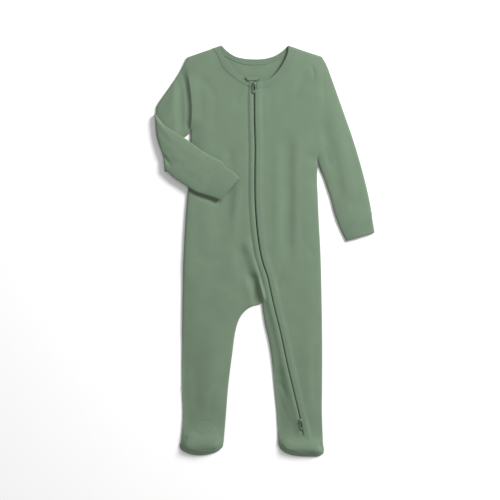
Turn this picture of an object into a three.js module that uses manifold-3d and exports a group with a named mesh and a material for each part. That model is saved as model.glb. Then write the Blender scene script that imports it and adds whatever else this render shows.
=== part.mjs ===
import * as THREE from "three";
import { mergeVertices } from "three/addons/utils/BufferGeometryUtils.js";
import Module from "manifold-3d";

// Footed baby sleepsuit with a two-way zip, laid flat on its back. Millimetres, +Z up, the neck towards +Y.
// The wearer's right is at -X: that sleeve is folded over at the elbow and its cuff lies on the chest.

// Cloth
const CLOTH = 1.4; // jersey wall
const RIB = 1.6; // wall of the neckband and cuffs
const SEAM = 0.3; // space between two pieces at a seam
const SEAM_HEIGHT = 2.4; // side, leg and shoulder seams over the surface
const ROUND = 3.6; // how far in from the outline the cloth is still turning over
const LAID = 4.4; // top of the front just inside its rounded edge
const CROWN = 2.7; // how much higher the cloth stands away from the garment's outline
const CROWN_REACH = 30; // how far in from the outline it takes to rise
const LOWEST = CLOTH + SEAM + CLOTH; // front pressed on the back
const HIGHEST = 14; // crest of the highest fold

// Zip
const SLOT = 1.6; // space between the two cloth edges over the chain
const ZIP_TOP = 8.4; // top of the cloth that covers the tapes
const ZIP_FLAT = 9.6; // half width of that cloth
const ZIP_SLOPE = 6.5; // how far it takes to come down to the panel
const CHAIN = { halfWidth: 1.5, bottom: 5.2, top: 6.5, from: -329, to: 308 };
const TAPE = { inner: 1.8, outer: 7.6, bottom: 5.5, top: 6.5, from: -329, to: 310 };

// Folded sleeve
const SLEEVE_HEIGHT = 4.4;
const FOLD_AXIS = 6.6; // height of the line that the elbow is folded about
const FOLD_STEPS = 6;
const FOREARM_CROWN = 2.2; // how much higher it stands away from its edges

// Rounded edges are followed in these steps inwards from the outline
const EDGE_STEPS = [0, 1.1, ROUND];
const ZIP_STEPS = [0, ZIP_FLAT, ZIP_FLAT + ZIP_SLOPE];

// The zip's line, from the ankle up: across and along
const ZIP_LINE = [
  { y: -345, x: 72 },
  { y: -303, x: 64.3 },
  { y: -254, x: 52.9 },
  { y: -204, x: 41 },
  { y: -145, x: 28.4 },
  { y: -105, x: 18.4 },
  { y: -70, x: 10.6 },
  { y: -47, x: 5.6 },
  { y: -16, x: -4.5 },
  { y: 28, x: -12.2 },
  { y: 97, x: -17.2 },
  { y: 192, x: -17 },
  { y: 238, x: -18.4 },
  { y: 290, x: -18.5 },
  { y: 320, x: -17.6 },
];

// Right half of the body, from the ankle up: the side seam and armhole, and the inside edge, which is the
// leg's inner seam up to the crotch, then the line beside the zip, then the neckline to the shoulder.
// The last column is the inside edge of the same half of the back.
const RIGHT_HALF = [
  { side: [-150, -341], front: [-73.4, -341], back: [-73.4, -341] },
  { side: [-146.7, -295], front: [-69.6, -297], back: [-69.6, -297] },
  { side: [-148, -238], front: [-65, -240], back: [-65, -240] },
  { side: [-148, -182], front: [-58, -184], back: [-58, -184] },
  { side: [-148, -137], front: [-51.4, -139.3], back: [-51.4, -139.3] },
  { side: [-147.6, -98], front: [-43, -117], back: [-43, -117] },
  { side: [-147, -62], front: [-27, -100.6], back: [-27, -100.6] },
  { side: [-146.5, -30], front: [-4.5, -93.2], back: [-4.5, -93.2] },
  { side: [-145, 6], front: [-8.5, -55], back: [-8, -50] },
  { side: [-142.4, 56], front: [-21, 10], back: [-12, 20] },
  { side: [-138.4, 105], front: [-28, 75], back: [-15, 85] },
  { side: [-134.4, 162], front: [-28.7, 140], back: [-16.5, 150] },
  { side: [-132.3, 217.5], front: [-29.6, 200], back: [-17, 215] },
  { side: [-129.8, 246], front: [-30.4, 245], back: [-17.3, 262] },
  { side: [-130.5, 273], front: [-31.5, 296], back: [-17.5, 336] },
  { side: [-133.5, 300], front: [-55.5, 311.3], back: [-37, 337.6] },
  { side: [-136.6, 322], front: [-75.4, 330], back: [-58, 345] },
  { side: [-138.2, 336.5], front: [-86, 353], back: [-76, 354] },
  { side: [-138.9, 349.2], front: [-94.5, 364.6], back: [-94.5, 364.6] },
];
const CROTCH_ROW = 7;
const ARMPIT_ROW = 12;
const NECK_ROW = 14;

// Strip of the right front inside the zip, from the left ankle up to the neck
const INSIDE_STRIP = [
  { inside: [25, -347], zipY: -331 },
  { inside: [22.6, -291], zipY: -287 },
  { inside: [17.4, -238], zipY: -236 },
  { inside: [11.8, -184], zipY: -182 },
  { inside: [6, -152], zipY: -151 },
  { inside: [1.3, -133], zipY: -133 },
  { inside: [-2.2, -112], zipY: -112 },
  { inside: [-4.5, -93.2], zipY: -93 },
  { inside: [-8.5, -55], zipY: -56 },
  { inside: [-21, 10], zipY: 10 },
  { inside: [-28, 75], zipY: 75 },
  { inside: [-28.7, 140], zipY: 140 },
  { inside: [-29.6, 200], zipY: 200 },
  { inside: [-30.4, 245], zipY: 245 },
  { inside: [-31.5, 296], zipY: 292 },
];

// Left half of the body, from the ankle up: the side seam and armhole, the zip up to the neckline and the
// neckline to the shoulder, and the inside edge of the same half of the back.
const LEFT_HALF = [
  { side: [105.2, -347], zipY: -331, back: [25, -347] },
  { side: [103.3, -291], zipY: -287, back: [22.6, -291] },
  { side: [103.6, -238], zipY: -236, back: [17.4, -238] },
  { side: [103.9, -182], zipY: -182, back: [11.8, -184] },
  { side: [103.6, -142], zipY: -142, back: [6, -152] },
  { side: [103.1, -104], zipY: -104, back: [1.3, -133] },
  { side: [102.4, -68], zipY: -70, back: [-2.2, -112] },
  { side: [101.7, -33], zipY: -40, back: [-4.5, -93.2] },
  { side: [100.3, 6], zipY: 2, back: [-8, -50] },
  { side: [97.6, 56], zipY: 52, back: [-12, 20] },
  { side: [95.8, 98], zipY: 96, back: [-15, 85] },
  { side: [94.5, 132], zipY: 140, back: [-16.5, 150] },
  { side: [95.2, 164.2], zipY: 186, back: [-17, 215] },
  { side: [86.8, 207], zipY: 240, back: [-17.3, 262] },
  { side: [84.4, 250], neck: [-18.5, 291.3], back: [-17.5, 336] },
  { side: [86.3, 292], neck: [13.5, 295.8], back: [2, 337.6] },
  { side: [91, 322], neck: [31.5, 312], back: [23, 345] },
  { side: [97, 339], neck: [43.5, 335], back: [41, 354] },
  { side: [103.3, 350], neck: [59.5, 364.6], back: [59.5, 364.6] },
];

// Feet: the outline round the toe between the two ankle corners, the arch over the instep where the leg's
// front ends, and the middle that the sole's rim turns in towards.
const FEET = {
  right: {
    outline: [
      [-150.2, -341.7], [-152.4, -347.5], [-150.8, -355], [-138, -363.2], [-117.9, -366.5], [-97.7, -364.2],
      [-83.5, -358.7], [-75.5, -351], [-73.5, -341.7],
    ],
    arch: [
      [-150, -341], [-140, -334], [-130, -320], [-119, -308.5], [-104, -305.5], [-88, -315], [-80, -330],
      [-73.4, -341],
    ],
    middle: [-112, -338],
  },
  left: {
    outline: [
      [25.1, -347.7], [28.4, -354.5], [37.4, -362], [52, -366.7], [80.1, -368.8], [97.4, -368],
      [105.8, -362.6], [106.8, -354.5], [105.3, -347.7],
    ],
    arch: [[25, -347], [36, -338.5], [52, -333.2], [69, -331.6], [86, -333.4], [97, -338.5], [105.2, -347]],
    middle: [66, -342],
  },
};
const RIM = 9; // how far the sole turns up over the toe

// Right sleeve: the upper arm from the armhole to the elbow, then the forearm that lies over it and the
// chest. The first column is the edge that runs from the shoulder, the second the one from the armpit.
const RIGHT_UPPER_ARM = [
  { over: [-139.8, 348.8], under: [-133.2, 217.5] },
  { over: [-153, 322.6], under: [-138.2, 210.5] },
  { over: [-166.7, 301.1], under: [-144.8, 203.6] },
  { over: [-180.6, 281.6], under: [-154, 184] },
  { over: [-192.2, 262.5], under: [-163.5, 162] },
  { over: [-193.4, 246.5], under: [-171.4, 143] },
];
const RIGHT_FOREARM = [
  { over: [-193.4, 246.5], under: [-171.4, 143] },
  { over: [-178, 225.5], under: [-163.5, 132.6] },
  { over: [-157, 212], under: [-151, 124.4] },
  { over: [-136, 198.4], under: [-138.1, 116.1] },
  { over: [-117, 184.4], under: [-128, 109.4] },
  { over: [-98, 172.2], under: [-119, 105] },
  { over: [-76.4, 161.8], under: [-110.8, 102.5] },
];
const RIGHT_CUFF = [
  { over: [-75.2, 160.8], under: [-109.8, 102] },
  { over: [-69.2, 151.6], under: [-103.8, 100] },
  { over: [-57, 144], under: [-92.5, 97] },
  { over: [-44.3, 131.4], under: [-80.1, 91.8] },
];

// Left sleeve, straight from the armhole to the wrist
const LEFT_SLEEVE = [
  { over: [104.3, 349], under: [96, 164] },
  { over: [111.6, 336], under: [97.6, 157] },
  { over: [120.2, 313], under: [100.6, 148] },
  { over: [137.5, 264], under: [107.3, 129.6] },
  { over: [157.7, 206.5], under: [113.2, 112] },
  { over: [168.6, 171.5], under: [118.6, 95.9] },
  { over: [178.4, 136], under: [123.2, 77] },
  { over: [186.6, 102], under: [127, 64] },
  { over: [193.5, 66.4], under: [130.4, 53.6] },
];
const LEFT_CUFF = [
  { over: [193, 65.6], under: [131, 53] },
  { over: [194.6, 55], under: [135.4, 42] },
  { over: [198.1, 34.2], under: [146.5, 18.8] },
];

// Neckband: its seam and its free edge, from the zip up the right of the neck, round the back and down the
// left. The layer is where the row lies: on the front, at the shoulder's fold or on the back.
const NECKBAND = [
  { seam: [-19.3, 292.3], free: [-19.3, 311], layer: "front" },
  { seam: [-31.5, 297.1], free: [-33, 311.6], layer: "front" },
  { seam: [-55, 312.4], free: [-49.6, 322], layer: "front" },
  { seam: [-74.5, 330.7], free: [-63, 339.6], layer: "front" },
  { seam: [-85, 353.3], free: [-77.6, 358], layer: "front" },
  { seam: [-93.6, 365.2], free: [-77.2, 370.6], layer: "fold" },
  { seam: [-75.7, 355], free: [-66.2, 359.5], layer: "back" },
  { seam: [-57.7, 346], free: [-51.5, 350.6], layer: "back" },
  { seam: [-36.8, 338.6], free: [-34.5, 346.8], layer: "back" },
  { seam: [-17.5, 337], free: [-17.5, 345.8], layer: "back" },
  { seam: [1.8, 338.6], free: [-0.5, 346.8], layer: "back" },
  { seam: [22.7, 346], free: [16.5, 351.2], layer: "back" },
  { seam: [40.7, 355], free: [31.4, 360], layer: "back" },
  { seam: [58.6, 365.2], free: [42.8, 370.6], layer: "fold" },
  { seam: [51.5, 353.6], free: [41.8, 357.6], layer: "front" },
  { seam: [42.6, 335.4], free: [32.6, 336.6], layer: "front" },
  { seam: [30.6, 313.2], free: [18.2, 317.5], layer: "front" },
  { seam: [13.1, 296.9], free: [3.6, 307.4], layer: "front" },
  { seam: [-15.7, 292.3], free: [-15.7, 304], layer: "front" },
];

// Folds of the front: the line that each follows, how far it reaches to each side and how high it stands,
// or how deep it lies where the rise is negative.
const FOLDS = [
  { name: "crotch trough", from: [-33, 8], to: [-17, -74], reach: 15, rise: -2.4 },
  { name: "crotch hollow", from: [-16, -44], to: [-12, -96], reach: 10, rise: -4.2 },
  { name: "ridge beside the crotch", from: [-24, 4], to: [2, -94], reach: 10, rise: 1.5 },
  { name: "left body trough", from: [41, 226], to: [41, -34], reach: 16, rise: -1.8 },
  { name: "ridge inside it", from: [21, 216], to: [22, -18], reach: 12, rise: 0.8 },
  { name: "ridge outside it", from: [59, 228], to: [57, -34], reach: 13, rise: 0.9 },
  { name: "right chest ridge", from: [-106, 322], to: [-108, 4], reach: 22, rise: 1.1 },
  { name: "right chest dimple", from: [-62, 186], to: [-63, 148], reach: 14, rise: -1.2 },
  { name: "press of the cuff", from: [-62, 126], to: [-66, 52], reach: 14, rise: -1.0 },
  { name: "right leg's outer side", from: [-150, -150], to: [-150, -372], reach: 46, rise: -1.8 },
  { name: "right leg crown", from: [-96, -110], to: [-98, -306], reach: 30, rise: 1.0 },
  { name: "left leg's inner side", from: [20, -190], to: [26, -352], reach: 22, rise: -1.2 },
  { name: "left leg crown", from: [80, -110], to: [84, -310], reach: 24, rise: 0.9 },
  { name: "right ankle", from: [-164, -300], to: [-60, -300], reach: 36, rise: -1.4 },
  { name: "left ankle", from: [10, -318], to: [122, -318], reach: 26, rise: -1.2 },
  { name: "right toe", from: [-160, -350], to: [-66, -350], reach: 40, rise: 5.4 },
  { name: "left toe", from: [14, -355], to: [120, -355], reach: 30, rise: 4.8 },
];
const SLEEVE_FOLDS = [
  { name: "left sleeve trough", from: [100, 250], to: [142, 78], reach: 16, rise: -1.2 },
  { name: "left sleeve ridge", from: [120, 270], to: [160, 84], reach: 18, rise: 0.7 },
];
const UPPER_ARM_FOLDS = [
  { name: "hollow beside the armhole", from: [-151, 342], to: [-147, 196], reach: 16, rise: -3.6 },
];

// Cover tab at the zip's top: half widths at its ends, and where those lie
const TAB = { x: -22.5, topY: 313, bottomY: 306.4, topHalf: 12.4, bottomHalf: 8, bottom: 8.8, wall: 1.3 };

// Sliders and pull tabs. The pull's bar turns in the bridge on the slider's plate.
const SLIDER = { length: 8.4, width: 6.6, plate: 1.0, lift: 0.4, keelWidth: 0.9, keelBottom: 6.8 };
const BRIDGE = { width: 1.6, opening: 3.0, post: 0.8, height: 1.7, top: 0.8 };
const PULL = { length: 17, width: 6.4, wall: 0.9, bar: 1.0, slot: 2.7, slotEnd: 11.5, droop: 3 };
const SLIDER_Y = { top: 300.5, bottom: -304 };

const COLOURS = { cloth: 0x79917a, rib: 0x76907a, tape: 0x5f7a62, chain: 0x4c6450, metal: 0x66806a };

const group = new THREE.Group();
const point = ([x, y]) => new THREE.Vector2(x, y);

// A smooth line through a table's points, read by row number, with sharp turns at the corner rows
function smooth(points, corners = []) {
  const ends = [0, ...corners, points.length - 1];
  const spans = ends.slice(1).map((end, k) => {
    const part = points.slice(ends[k], end + 1).map(([x, y]) => new THREE.Vector3(x, y, 0));
    return new THREE.CatmullRomCurve3(part, false, "centripetal");
  });
  return (row) => {
    let k = 0;
    while (k < spans.length - 1 && row > ends[k + 1]) k += 1;
    const { x, y } = spans[k].getPoint((row - ends[k]) / (ends[k + 1] - ends[k]));
    return new THREE.Vector2(x, y);
  };
}

// Where the zip lies across, at a height along the body
const zipCurve = new THREE.SplineCurve(ZIP_LINE.map(({ x, y }) => new THREE.Vector2(x, y)));
const zipPoints = zipCurve.getPoints(120);
function zipX(y) {
  const k = Math.max(1, zipPoints.findIndex((p) => p.y >= y));
  const [a, b] = [zipPoints[k - 1], zipPoints[k]];
  return a.x + ((b.x - a.x) * (y - a.y)) / (b.y - a.y);
}
const zipEdge = (y, offset) => [zipX(y) + offset, y];

// How strongly a fold acts at a point: rounded across, fading towards both ends
function foldAt(fold, x, y) {
  const from = point(fold.from);
  const along = point(fold.to).sub(from);
  const length = along.length();
  const at = new THREE.Vector2(x, y).sub(from);
  const s = at.dot(along) / (length * length);
  const across = Math.abs(at.cross(along)) / length;
  if (s <= 0 || s >= 1 || across >= fold.reach) return 0;
  const fade = Math.min(1, 4 * Math.min(s, 1 - s));
  return (fold.rise * fade * fade * (3 - 2 * fade) * (1 + Math.cos((Math.PI * across) / fold.reach))) / 2;
}

// Distance of a point from the nearest of some open lines, and the direction of that line there
function fromLines(lines) {
  const pieces = lines.flatMap((line) =>
    line.slice(1).map((b, k) => ({ a: line[k], along: b.clone().sub(line[k]) })),
  );
  return (p) => {
    let best = { distance: Infinity };
    for (const { a, along } of pieces) {
      const s = THREE.MathUtils.clamp(p.clone().sub(a).dot(along) / along.lengthSq(), 0, 1);
      const near = along.clone().multiplyScalar(s).add(a);
      const distance = near.distanceTo(p);
      if (distance < best.distance) best = { distance, along };
    }
    return best;
  };
}

// How much the laid cloth crowns at a point, inside the garment's whole outline
function crown(x, y) {
  const q = Math.min(fromGarment(new THREE.Vector2(x, y)).distance / CROWN_REACH, 1);
  return CROWN * (1 - (1 - q) ** 2);
}
const withFolds = (folds) => (x, y) => {
  const height = folds.reduce((sum, fold) => sum + foldAt(fold, x, y), LAID + crown(x, y));
  return THREE.MathUtils.clamp(height, LOWEST, HIGHEST);
};

// Height of the front over the surface, away from the outline
function frontTop(x, y) {
  const height = withFolds(FOLDS)(x, y);
  const aside = Math.abs(x - zipX(y));
  const cover = 1 - THREE.MathUtils.smoothstep(aside, ZIP_FLAT, ZIP_FLAT + ZIP_SLOPE);
  return height + (Math.max(height, ZIP_TOP) - height) * cover;
}

// Lays cloth inside an outline of open lines, each with the cloth on its left. On top the wall falls away to
// the seam height at the outline, underneath it curls up to it. Gives a point's outer and inner place.
function layer(outlines, top, wall, seamHeight = SEAM_HEIGHT, gap = SEAM, bottom = () => 0) {
  const fromOutline = fromLines(outlines);
  return (p, under = false) => {
    const { distance, along } = fromOutline(p);
    const q = Math.min(distance / ROUND, 1);
    const rise = Math.sqrt(1 - (1 - q) ** 2);
    const seam = under ? seamHeight - gap : seamHeight;
    const away = under ? bottom(p.x, p.y) : top(p.x, p.y);
    const z = seam + (away - seam) * rise;
    const inward = new THREE.Vector2(-along.y, along.x).normalize().multiplyScalar(wall * (1 - q));
    return {
      outer: new THREE.Vector3(p.x, p.y, z),
      inner: new THREE.Vector3(p.x + inward.x, p.y + inward.y, under ? z + wall * rise : z - wall * rise),
    };
  };
}

// Shares across a row of a given width: at set distances from an edge as far as that edge asks for them,
// and evenly spread elsewhere.
function steps(width, middle, atStart, atEnd) {
  const [near, far] = [atStart.places, atEnd.places];
  const last = near.length + middle + far.length - 1;
  const [low, high] = [near.at(-1), width - far.at(-1)];
  return Array.from({ length: last + 1 }, (_, k) => {
    let place = low + ((high - low) * (k - near.length + 1)) / (middle + 1);
    if (k < near.length) place = near[k];
    if (last - k < far.length) place = width - far[last - k];
    const asked = k < last / 2 ? atStart.asked : atEnd.asked;
    const even = (width * k) / last;
    return (even + (place - even) * asked) / width;
  });
}

// A grid of places between two lines, a row for each given row number. The first and last row may follow a
// curve of their own, which fades out over the next rows.
function grid({ start, end, rows, middle, atStart, atEnd, first, last, fade = 0.2 }) {
  const [low, high] = [rows[0], rows.at(-1)];
  const bulge = (curve, row) => (u) =>
    curve ? curve(u).sub(start(row).lerp(end(row), u)) : new THREE.Vector2();
  const atFirst = bulge(first, low);
  const atLast = bulge(last, high);
  return rows.map((row) => {
    const a = start(row);
    const b = end(row);
    const t = (row - low) / (high - low);
    const nearFirst = Math.max(0, 1 - t / fade) ** 2;
    const nearLast = Math.max(0, 1 - (1 - t) / fade) ** 2;
    return steps(a.distanceTo(b), middle, atStart(row), atEnd(row)).map((u) =>
      a.clone().lerp(b, u).addScaledVector(atFirst(u), nearFirst).addScaledVector(atLast(u), nearLast),
    );
  });
}

// A curve read by its share of the length
function byShare(points) {
  const curve = new THREE.SplineCurve(points.map(point));
  return (u) => curve.getPointAt(THREE.MathUtils.clamp(u, 0, 1));
}

// Joins patches of outer and inner points where they share an edge, and closes them to one wall
function wall(patches) {
  const ids = new Map();
  const pairs = [];
  const id = (pair) => {
    const key = pair.outer.toArray().map((v) => Math.round(v * 200)).join();
    if (!ids.has(key)) {
      ids.set(key, pairs.length);
      pairs.push(pair);
    }
    return ids.get(key);
  };
  const faces = [];
  for (const patch of patches) {
    for (let r = 1; r < patch.length; r += 1) {
      for (let c = 1; c < patch[r].length; c += 1) {
        const [a, b, d, e] = [patch[r - 1][c - 1], patch[r - 1][c], patch[r][c], patch[r][c - 1]].map(id);
        faces.push([a, b, d], [a, d, e]);
      }
    }
  }
  const whole = faces.filter(([a, b, c]) => a !== b && b !== c && c !== a);
  const edges = new Set(whole.flatMap(([a, b, c]) => [`${a},${b}`, `${b},${c}`, `${c},${a}`]));
  const size = pairs.length;
  const index = [];
  for (const [a, b, c] of whole) {
    index.push(a, b, c, a + size, c + size, b + size);
    for (const [m, n] of [[a, b], [b, c], [c, a]]) {
      if (!edges.has(`${n},${m}`)) index.push(n, m, m + size, n, m + size, n + size);
    }
  }
  const places = [...pairs.map((p) => p.outer), ...pairs.map((p) => p.inner)];
  return facingOut(places, index);
}

function facingOut(places, index) {
  let volume = 0;
  for (let k = 0; k < index.length; k += 3) {
    const [a, b, c] = [places[index[k]], places[index[k + 1]], places[index[k + 2]]];
    volume += a.dot(b.clone().cross(c));
  }
  if (volume < 0) index.reverse();
  const geometry = new THREE.BufferGeometry().setFromPoints(places);
  geometry.setIndex(index);
  geometry.computeVertexNormals();
  return geometry;
}

function add(name, geometry, colour, metalness = 0) {
  const roughness = metalness > 0 ? 0.45 : 0.9;
  const material = new THREE.MeshStandardMaterial({ color: colour, roughness, metalness });
  const mesh = new THREE.Mesh(geometry, material);
  mesh.name = name;
  group.add(mesh);
  return mesh;
}

// Lines of the body
const column = (table, name) => table.map((row) => row[name]);
const rightSide = smooth(column(RIGHT_HALF, "side"));
const rightFront = smooth(column(RIGHT_HALF, "front"), [CROTCH_ROW, NECK_ROW]);
const rightBack = smooth(column(RIGHT_HALF, "back"), [CROTCH_ROW, NECK_ROW]);
const stripInside = smooth(column(INSIDE_STRIP, "inside"), [CROTCH_ROW]);
const stripZipY = smooth(INSIDE_STRIP.map(({ zipY }) => [0, zipY]));
const stripZip = (row) => point(zipEdge(stripZipY(row).y, -SLOT / 2));
const leftSide = smooth(column(LEFT_HALF, "side"));
const leftZipY = smooth(LEFT_HALF.slice(0, NECK_ROW + 1).map(({ zipY, neck }) => [0, zipY ?? neck[1]]));
const leftNeck = smooth(column(LEFT_HALF.slice(NECK_ROW), "neck"));
const leftFront = (row) =>
  row <= NECK_ROW ? point(zipEdge(leftZipY(row).y, SLOT / 2)) : leftNeck(row - NECK_ROW);
const leftBack = smooth(column(LEFT_HALF, "back"), [CROTCH_ROW, NECK_ROW]);
const LAST_ROW = RIGHT_HALF.length - 1;

const sampled = (line, from, to) =>
  Array.from({ length: 61 }, (_, k) => line(from + ((to - from) * k) / 60));
const footLines = Object.fromEntries(
  Object.entries(FEET).map(([side, { outline, arch, middle }]) => [
    side,
    { outline: byShare(outline), arch: byShare(arch), middle: point(middle) },
  ]),
);

// Shares of the left instep's arch at which the zip's two cloth edges end, and the shares across each foot
// that the leg's front has there too
function shareAt(curve, x) {
  let [low, high] = [0, 1];
  for (let k = 0; k < 30; k += 1) {
    const mid = (low + high) / 2;
    [low, high] = curve(mid).x < x ? [mid, high] : [low, mid];
  }
  return low;
}
const ZIP_END_Y = -331;
footLines.left.zip = [-1, 1].map((side) => shareAt(footLines.left.arch, zipX(ZIP_END_Y) + (side * SLOT) / 2));
const reversed = (line) => [...line].reverse();
const bodyOutline = [
  sampled(rightSide, ARMPIT_ROW, 0),
  sampled(footLines.right.outline, 0, 1),
  sampled(rightBack, 0, CROTCH_ROW),
  sampled(stripInside, CROTCH_ROW, 0),
  sampled(footLines.left.outline, 0, 1),
  sampled(leftSide, 0, ARMPIT_ROW),
  [leftSide(LAST_ROW), point([42.8, 370.6])],
  [point([-77.2, 370.6]), rightSide(LAST_ROW)],
];
const edgesOf = (table) => {
  const [over, under] = ["over", "under"].map((edge) => smooth(column(table, edge)));
  return [sampled(over, 0, table.length - 1), sampled(under, 0, table.length - 1)];
};
const upperArmEdges = edgesOf(RIGHT_UPPER_ARM);
const elbow = upperArmEdges.map((edge) => edge.at(-1));
const fromGarment = fromLines([
  ...bodyOutline, ...upperArmEdges, elbow, ...edgesOf(LEFT_SLEEVE), ...edgesOf(LEFT_CUFF),
]);
const body = layer(bodyOutline, frontTop, CLOTH);
const band = layer(bodyOutline, frontTop, RIB);

// Mesh rows: half a table row each, closer at the crotch and along the shoulder seam
const halves = (from, to) => Array.from({ length: 2 * (to - from) + 1 }, (_, k) => from + k / 2);
const withExtra = (rows, extra) => [...rows, ...extra].sort((a, b) => a - b);
const crotchExtra = [CROTCH_ROW + 0.05, CROTCH_ROW + 0.16];
const neckExtra = [NECK_ROW + 0.15, NECK_ROW + 0.32];
const shoulderExtra = [LAST_ROW - 0.2];
const legRows = halves(0, CROTCH_ROW);
const torsoRows = withExtra(halves(CROTCH_ROW, NECK_ROW), crotchExtra);
const yokeRows = withExtra(halves(NECK_ROW, LAST_ROW), [...neckExtra, ...shoulderExtra]);

const rounded = (asked) => ({ places: EDGE_STEPS, asked });
const seamUpTo = (top) => (row) => rounded(1 - THREE.MathUtils.smoothstep(row, top - 0.5, top + 1));
const plain = () => rounded(0);
const besideZip = () => ({ places: ZIP_STEPS, asked: 1 });

function panel(patches, under, laid = body) {
  return wall(patches.map((patch) => patch.map((row) => row.map((p) => laid(p, under)))));
}

const RIGHT_MIDDLE = 7;
const LEFT_MIDDLE = 4;

function rightFrontPatches() {
  const half = { start: rightSide, end: rightFront, middle: RIGHT_MIDDLE };
  half.atStart = () => rounded(1);
  half.atEnd = seamUpTo(CROTCH_ROW);
  const strip = { start: stripInside, end: stripZip, middle: 0, atEnd: plain };
  strip.atStart = seamUpTo(CROTCH_ROW);
  const { arch: leftArch, zip } = footLines.left;
  return [
    grid({ ...half, rows: legRows, first: footLines.right.arch, fade: 0.3 }),
    grid({ ...half, rows: torsoRows }),
    grid({ ...half, rows: yokeRows }),
    grid({ ...strip, rows: legRows, first: (u) => leftArch(u * zip[0]), fade: 0.15 }),
    grid({ ...strip, rows: torsoRows }),
  ];
}

function leftFrontPatches() {
  const half = { start: leftFront, end: leftSide, middle: LEFT_MIDDLE };
  half.atStart = besideZip;
  half.atEnd = seamUpTo(ARMPIT_ROW);
  const { arch, zip } = footLines.left;
  const first = (u) => arch(zip[1] + u * (1 - zip[1]));
  return [
    grid({ ...half, rows: halves(0, NECK_ROW), first, fade: 0.08 }),
    grid({ ...half, rows: yokeRows }),
  ];
}

function backPatches() {
  const [side, inside] = [seamUpTo(ARMPIT_ROW), seamUpTo(CROTCH_ROW)];
  const right = { start: rightSide, end: rightBack, middle: 0, atStart: side, atEnd: inside };
  const left = { start: leftBack, end: leftSide, middle: 0, atStart: inside, atEnd: side };
  const stretches = [legRows, torsoRows, yokeRows];
  return [right, left].flatMap((half) => stretches.map((rows) => grid({ ...half, rows })));
}

add("back", panel(backPatches(), true), COLOURS.cloth);
add("front_right", panel(rightFrontPatches(), false), COLOURS.cloth);
add("front_left", panel(leftFrontPatches(), false), COLOURS.cloth);

// Feet: the upper fills the space between the instep's arch and the rim, and the sole lies under the foot
// and turns up round the toe to that rim.
function foot(side, shares) {
  const { outline, arch, middle } = footLines[side];
  const rimWidth = (u) => 0.9 + RIM * Math.sin(Math.PI * u) ** 0.6;
  const inwardAt = (u) => middle.clone().sub(outline(u)).normalize();
  const inFromOutline = (u, distance) => outline(u).addScaledVector(inwardAt(u), distance);

  const [from, to] = [outline(0), outline(1)];
  const heel = (u) => from.clone().lerp(to, 0.012 + 0.976 * u).add(new THREE.Vector2(0, -0.5));
  const sole = shares.map((u) => {
    const edge = outline(u);
    const reach = heel(u).distanceTo(edge);
    const inner = EDGE_STEPS.map((d) => Math.min(d, reach * 0.5) / reach).reverse();
    const under = [0, 0.45, ...inner.map((d) => 1 - d)].map((v) => body(heel(u).lerp(edge, v), true));
    const over = EDGE_STEPS.slice(1).map((d) => Math.min(d, rimWidth(u) * 0.7));
    const onTop = [...over, rimWidth(u)].map((d) => body(inFromOutline(u, d), false));
    return [...under, ...onTop];
  });
  add(`sole_${side}`, wall([sole]), COLOURS.cloth);

  const upper = shares.map((u) => {
    const rim = inFromOutline(u, rimWidth(u) + 2 * SEAM);
    const over = arch(u);
    const down = over.clone().sub(rim);
    const reach = down.length();
    over.addScaledVector(down.normalize(), -2 * SEAM);
    return [0, 0.33, 0.67, 1].map((v) => body(rim.clone().lerp(over, reach < 2 ? 0.5 * v : v), false));
  });
  add(`foot_upper_${side}`, wall([upper]), COLOURS.cloth);
}

function footShares() {
  const acrossRight = steps(rightSide(0).distanceTo(rightFront(0)), RIGHT_MIDDLE, rounded(1), rounded(1));
  const { zip } = footLines.left;
  const stripWidth = stripInside(0).distanceTo(stripZip(0));
  const inside = steps(stripWidth, 0, rounded(1), rounded(0)).map((u) => u * zip[0]);
  const outsideWidth = leftFront(0).distanceTo(leftSide(0));
  const outwards = steps(outsideWidth, LEFT_MIDDLE, besideZip(), rounded(1));
  const outside = outwards.map((u) => zip[1] + u * (1 - zip[1]));
  return { right: acrossRight, left: [...inside, ...outside] };
}
for (const [side, shares] of Object.entries(footShares())) foot(side, shares);

// Sleeves and cuffs are flat tubes: each row runs over the top from one edge to the other and back under.
// The line along the shoulder side has the cloth on its left when read towards the wrist.
function tubeRows(rows, laid, place) {
  return rows.map((row) => {
    const over = row.map((p) => laid(p, false));
    const under = [...row].reverse().map((p) => laid(p, true));
    const ring = [...over, ...under.slice(1, -1), over[0]];
    return ring.map(({ outer, inner }) => ({ outer: place(outer), inner: place(inner) }));
  });
}

function tubeLines(table) {
  const [over, under] = ["over", "under"].map((edge) => smooth(column(table, edge)));
  return { over, under, last: table.length - 1 };
}

function tubeOutline(lines, mirrored) {
  const over = sampled(lines.over, 0, lines.last);
  const under = sampled(lines.under, 0, lines.last);
  return mirrored ? [reversed(over), under] : [over, reversed(under)];
}

const MIDDLE_COLUMNS = 5;
const bothEdges = () => rounded(1);

// The armhole's line from the shoulder to the armpit, moved out of the body by the seam's space
const ARMHOLE_SPACE = 0.9;
function armhole(side, outward) {
  const line = sampled(side, LAST_ROW, ARMPIT_ROW);
  return byShare(line.map(({ x, y }) => [x + outward * ARMHOLE_SPACE, y]));
}

function tubeGrid(lines, rows, first) {
  return grid({
    start: lines.over,
    end: lines.under,
    rows,
    middle: MIDDLE_COLUMNS,
    atStart: bothEdges,
    atEnd: bothEdges,
    first,
    fade: 0.45,
  });
}

// The forearm is turned over, so what lies underneath here is its upper side
const flatSleeve = () => SLEEVE_HEIGHT;
const fromForearm = fromLines([...edgesOf(RIGHT_FOREARM), ...edgesOf(RIGHT_CUFF), elbow]);
function forearmCrown(x, y) {
  const q = Math.min(fromForearm(new THREE.Vector2(x, y)).distance / CROWN_REACH, 1);
  return -FOREARM_CROWN * (1 - (1 - q) ** 2);
}

const still = (p) => p;
const turnedOver = (p) => new THREE.Vector3(p.x, p.y, 2 * FOLD_AXIS - p.z);

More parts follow.
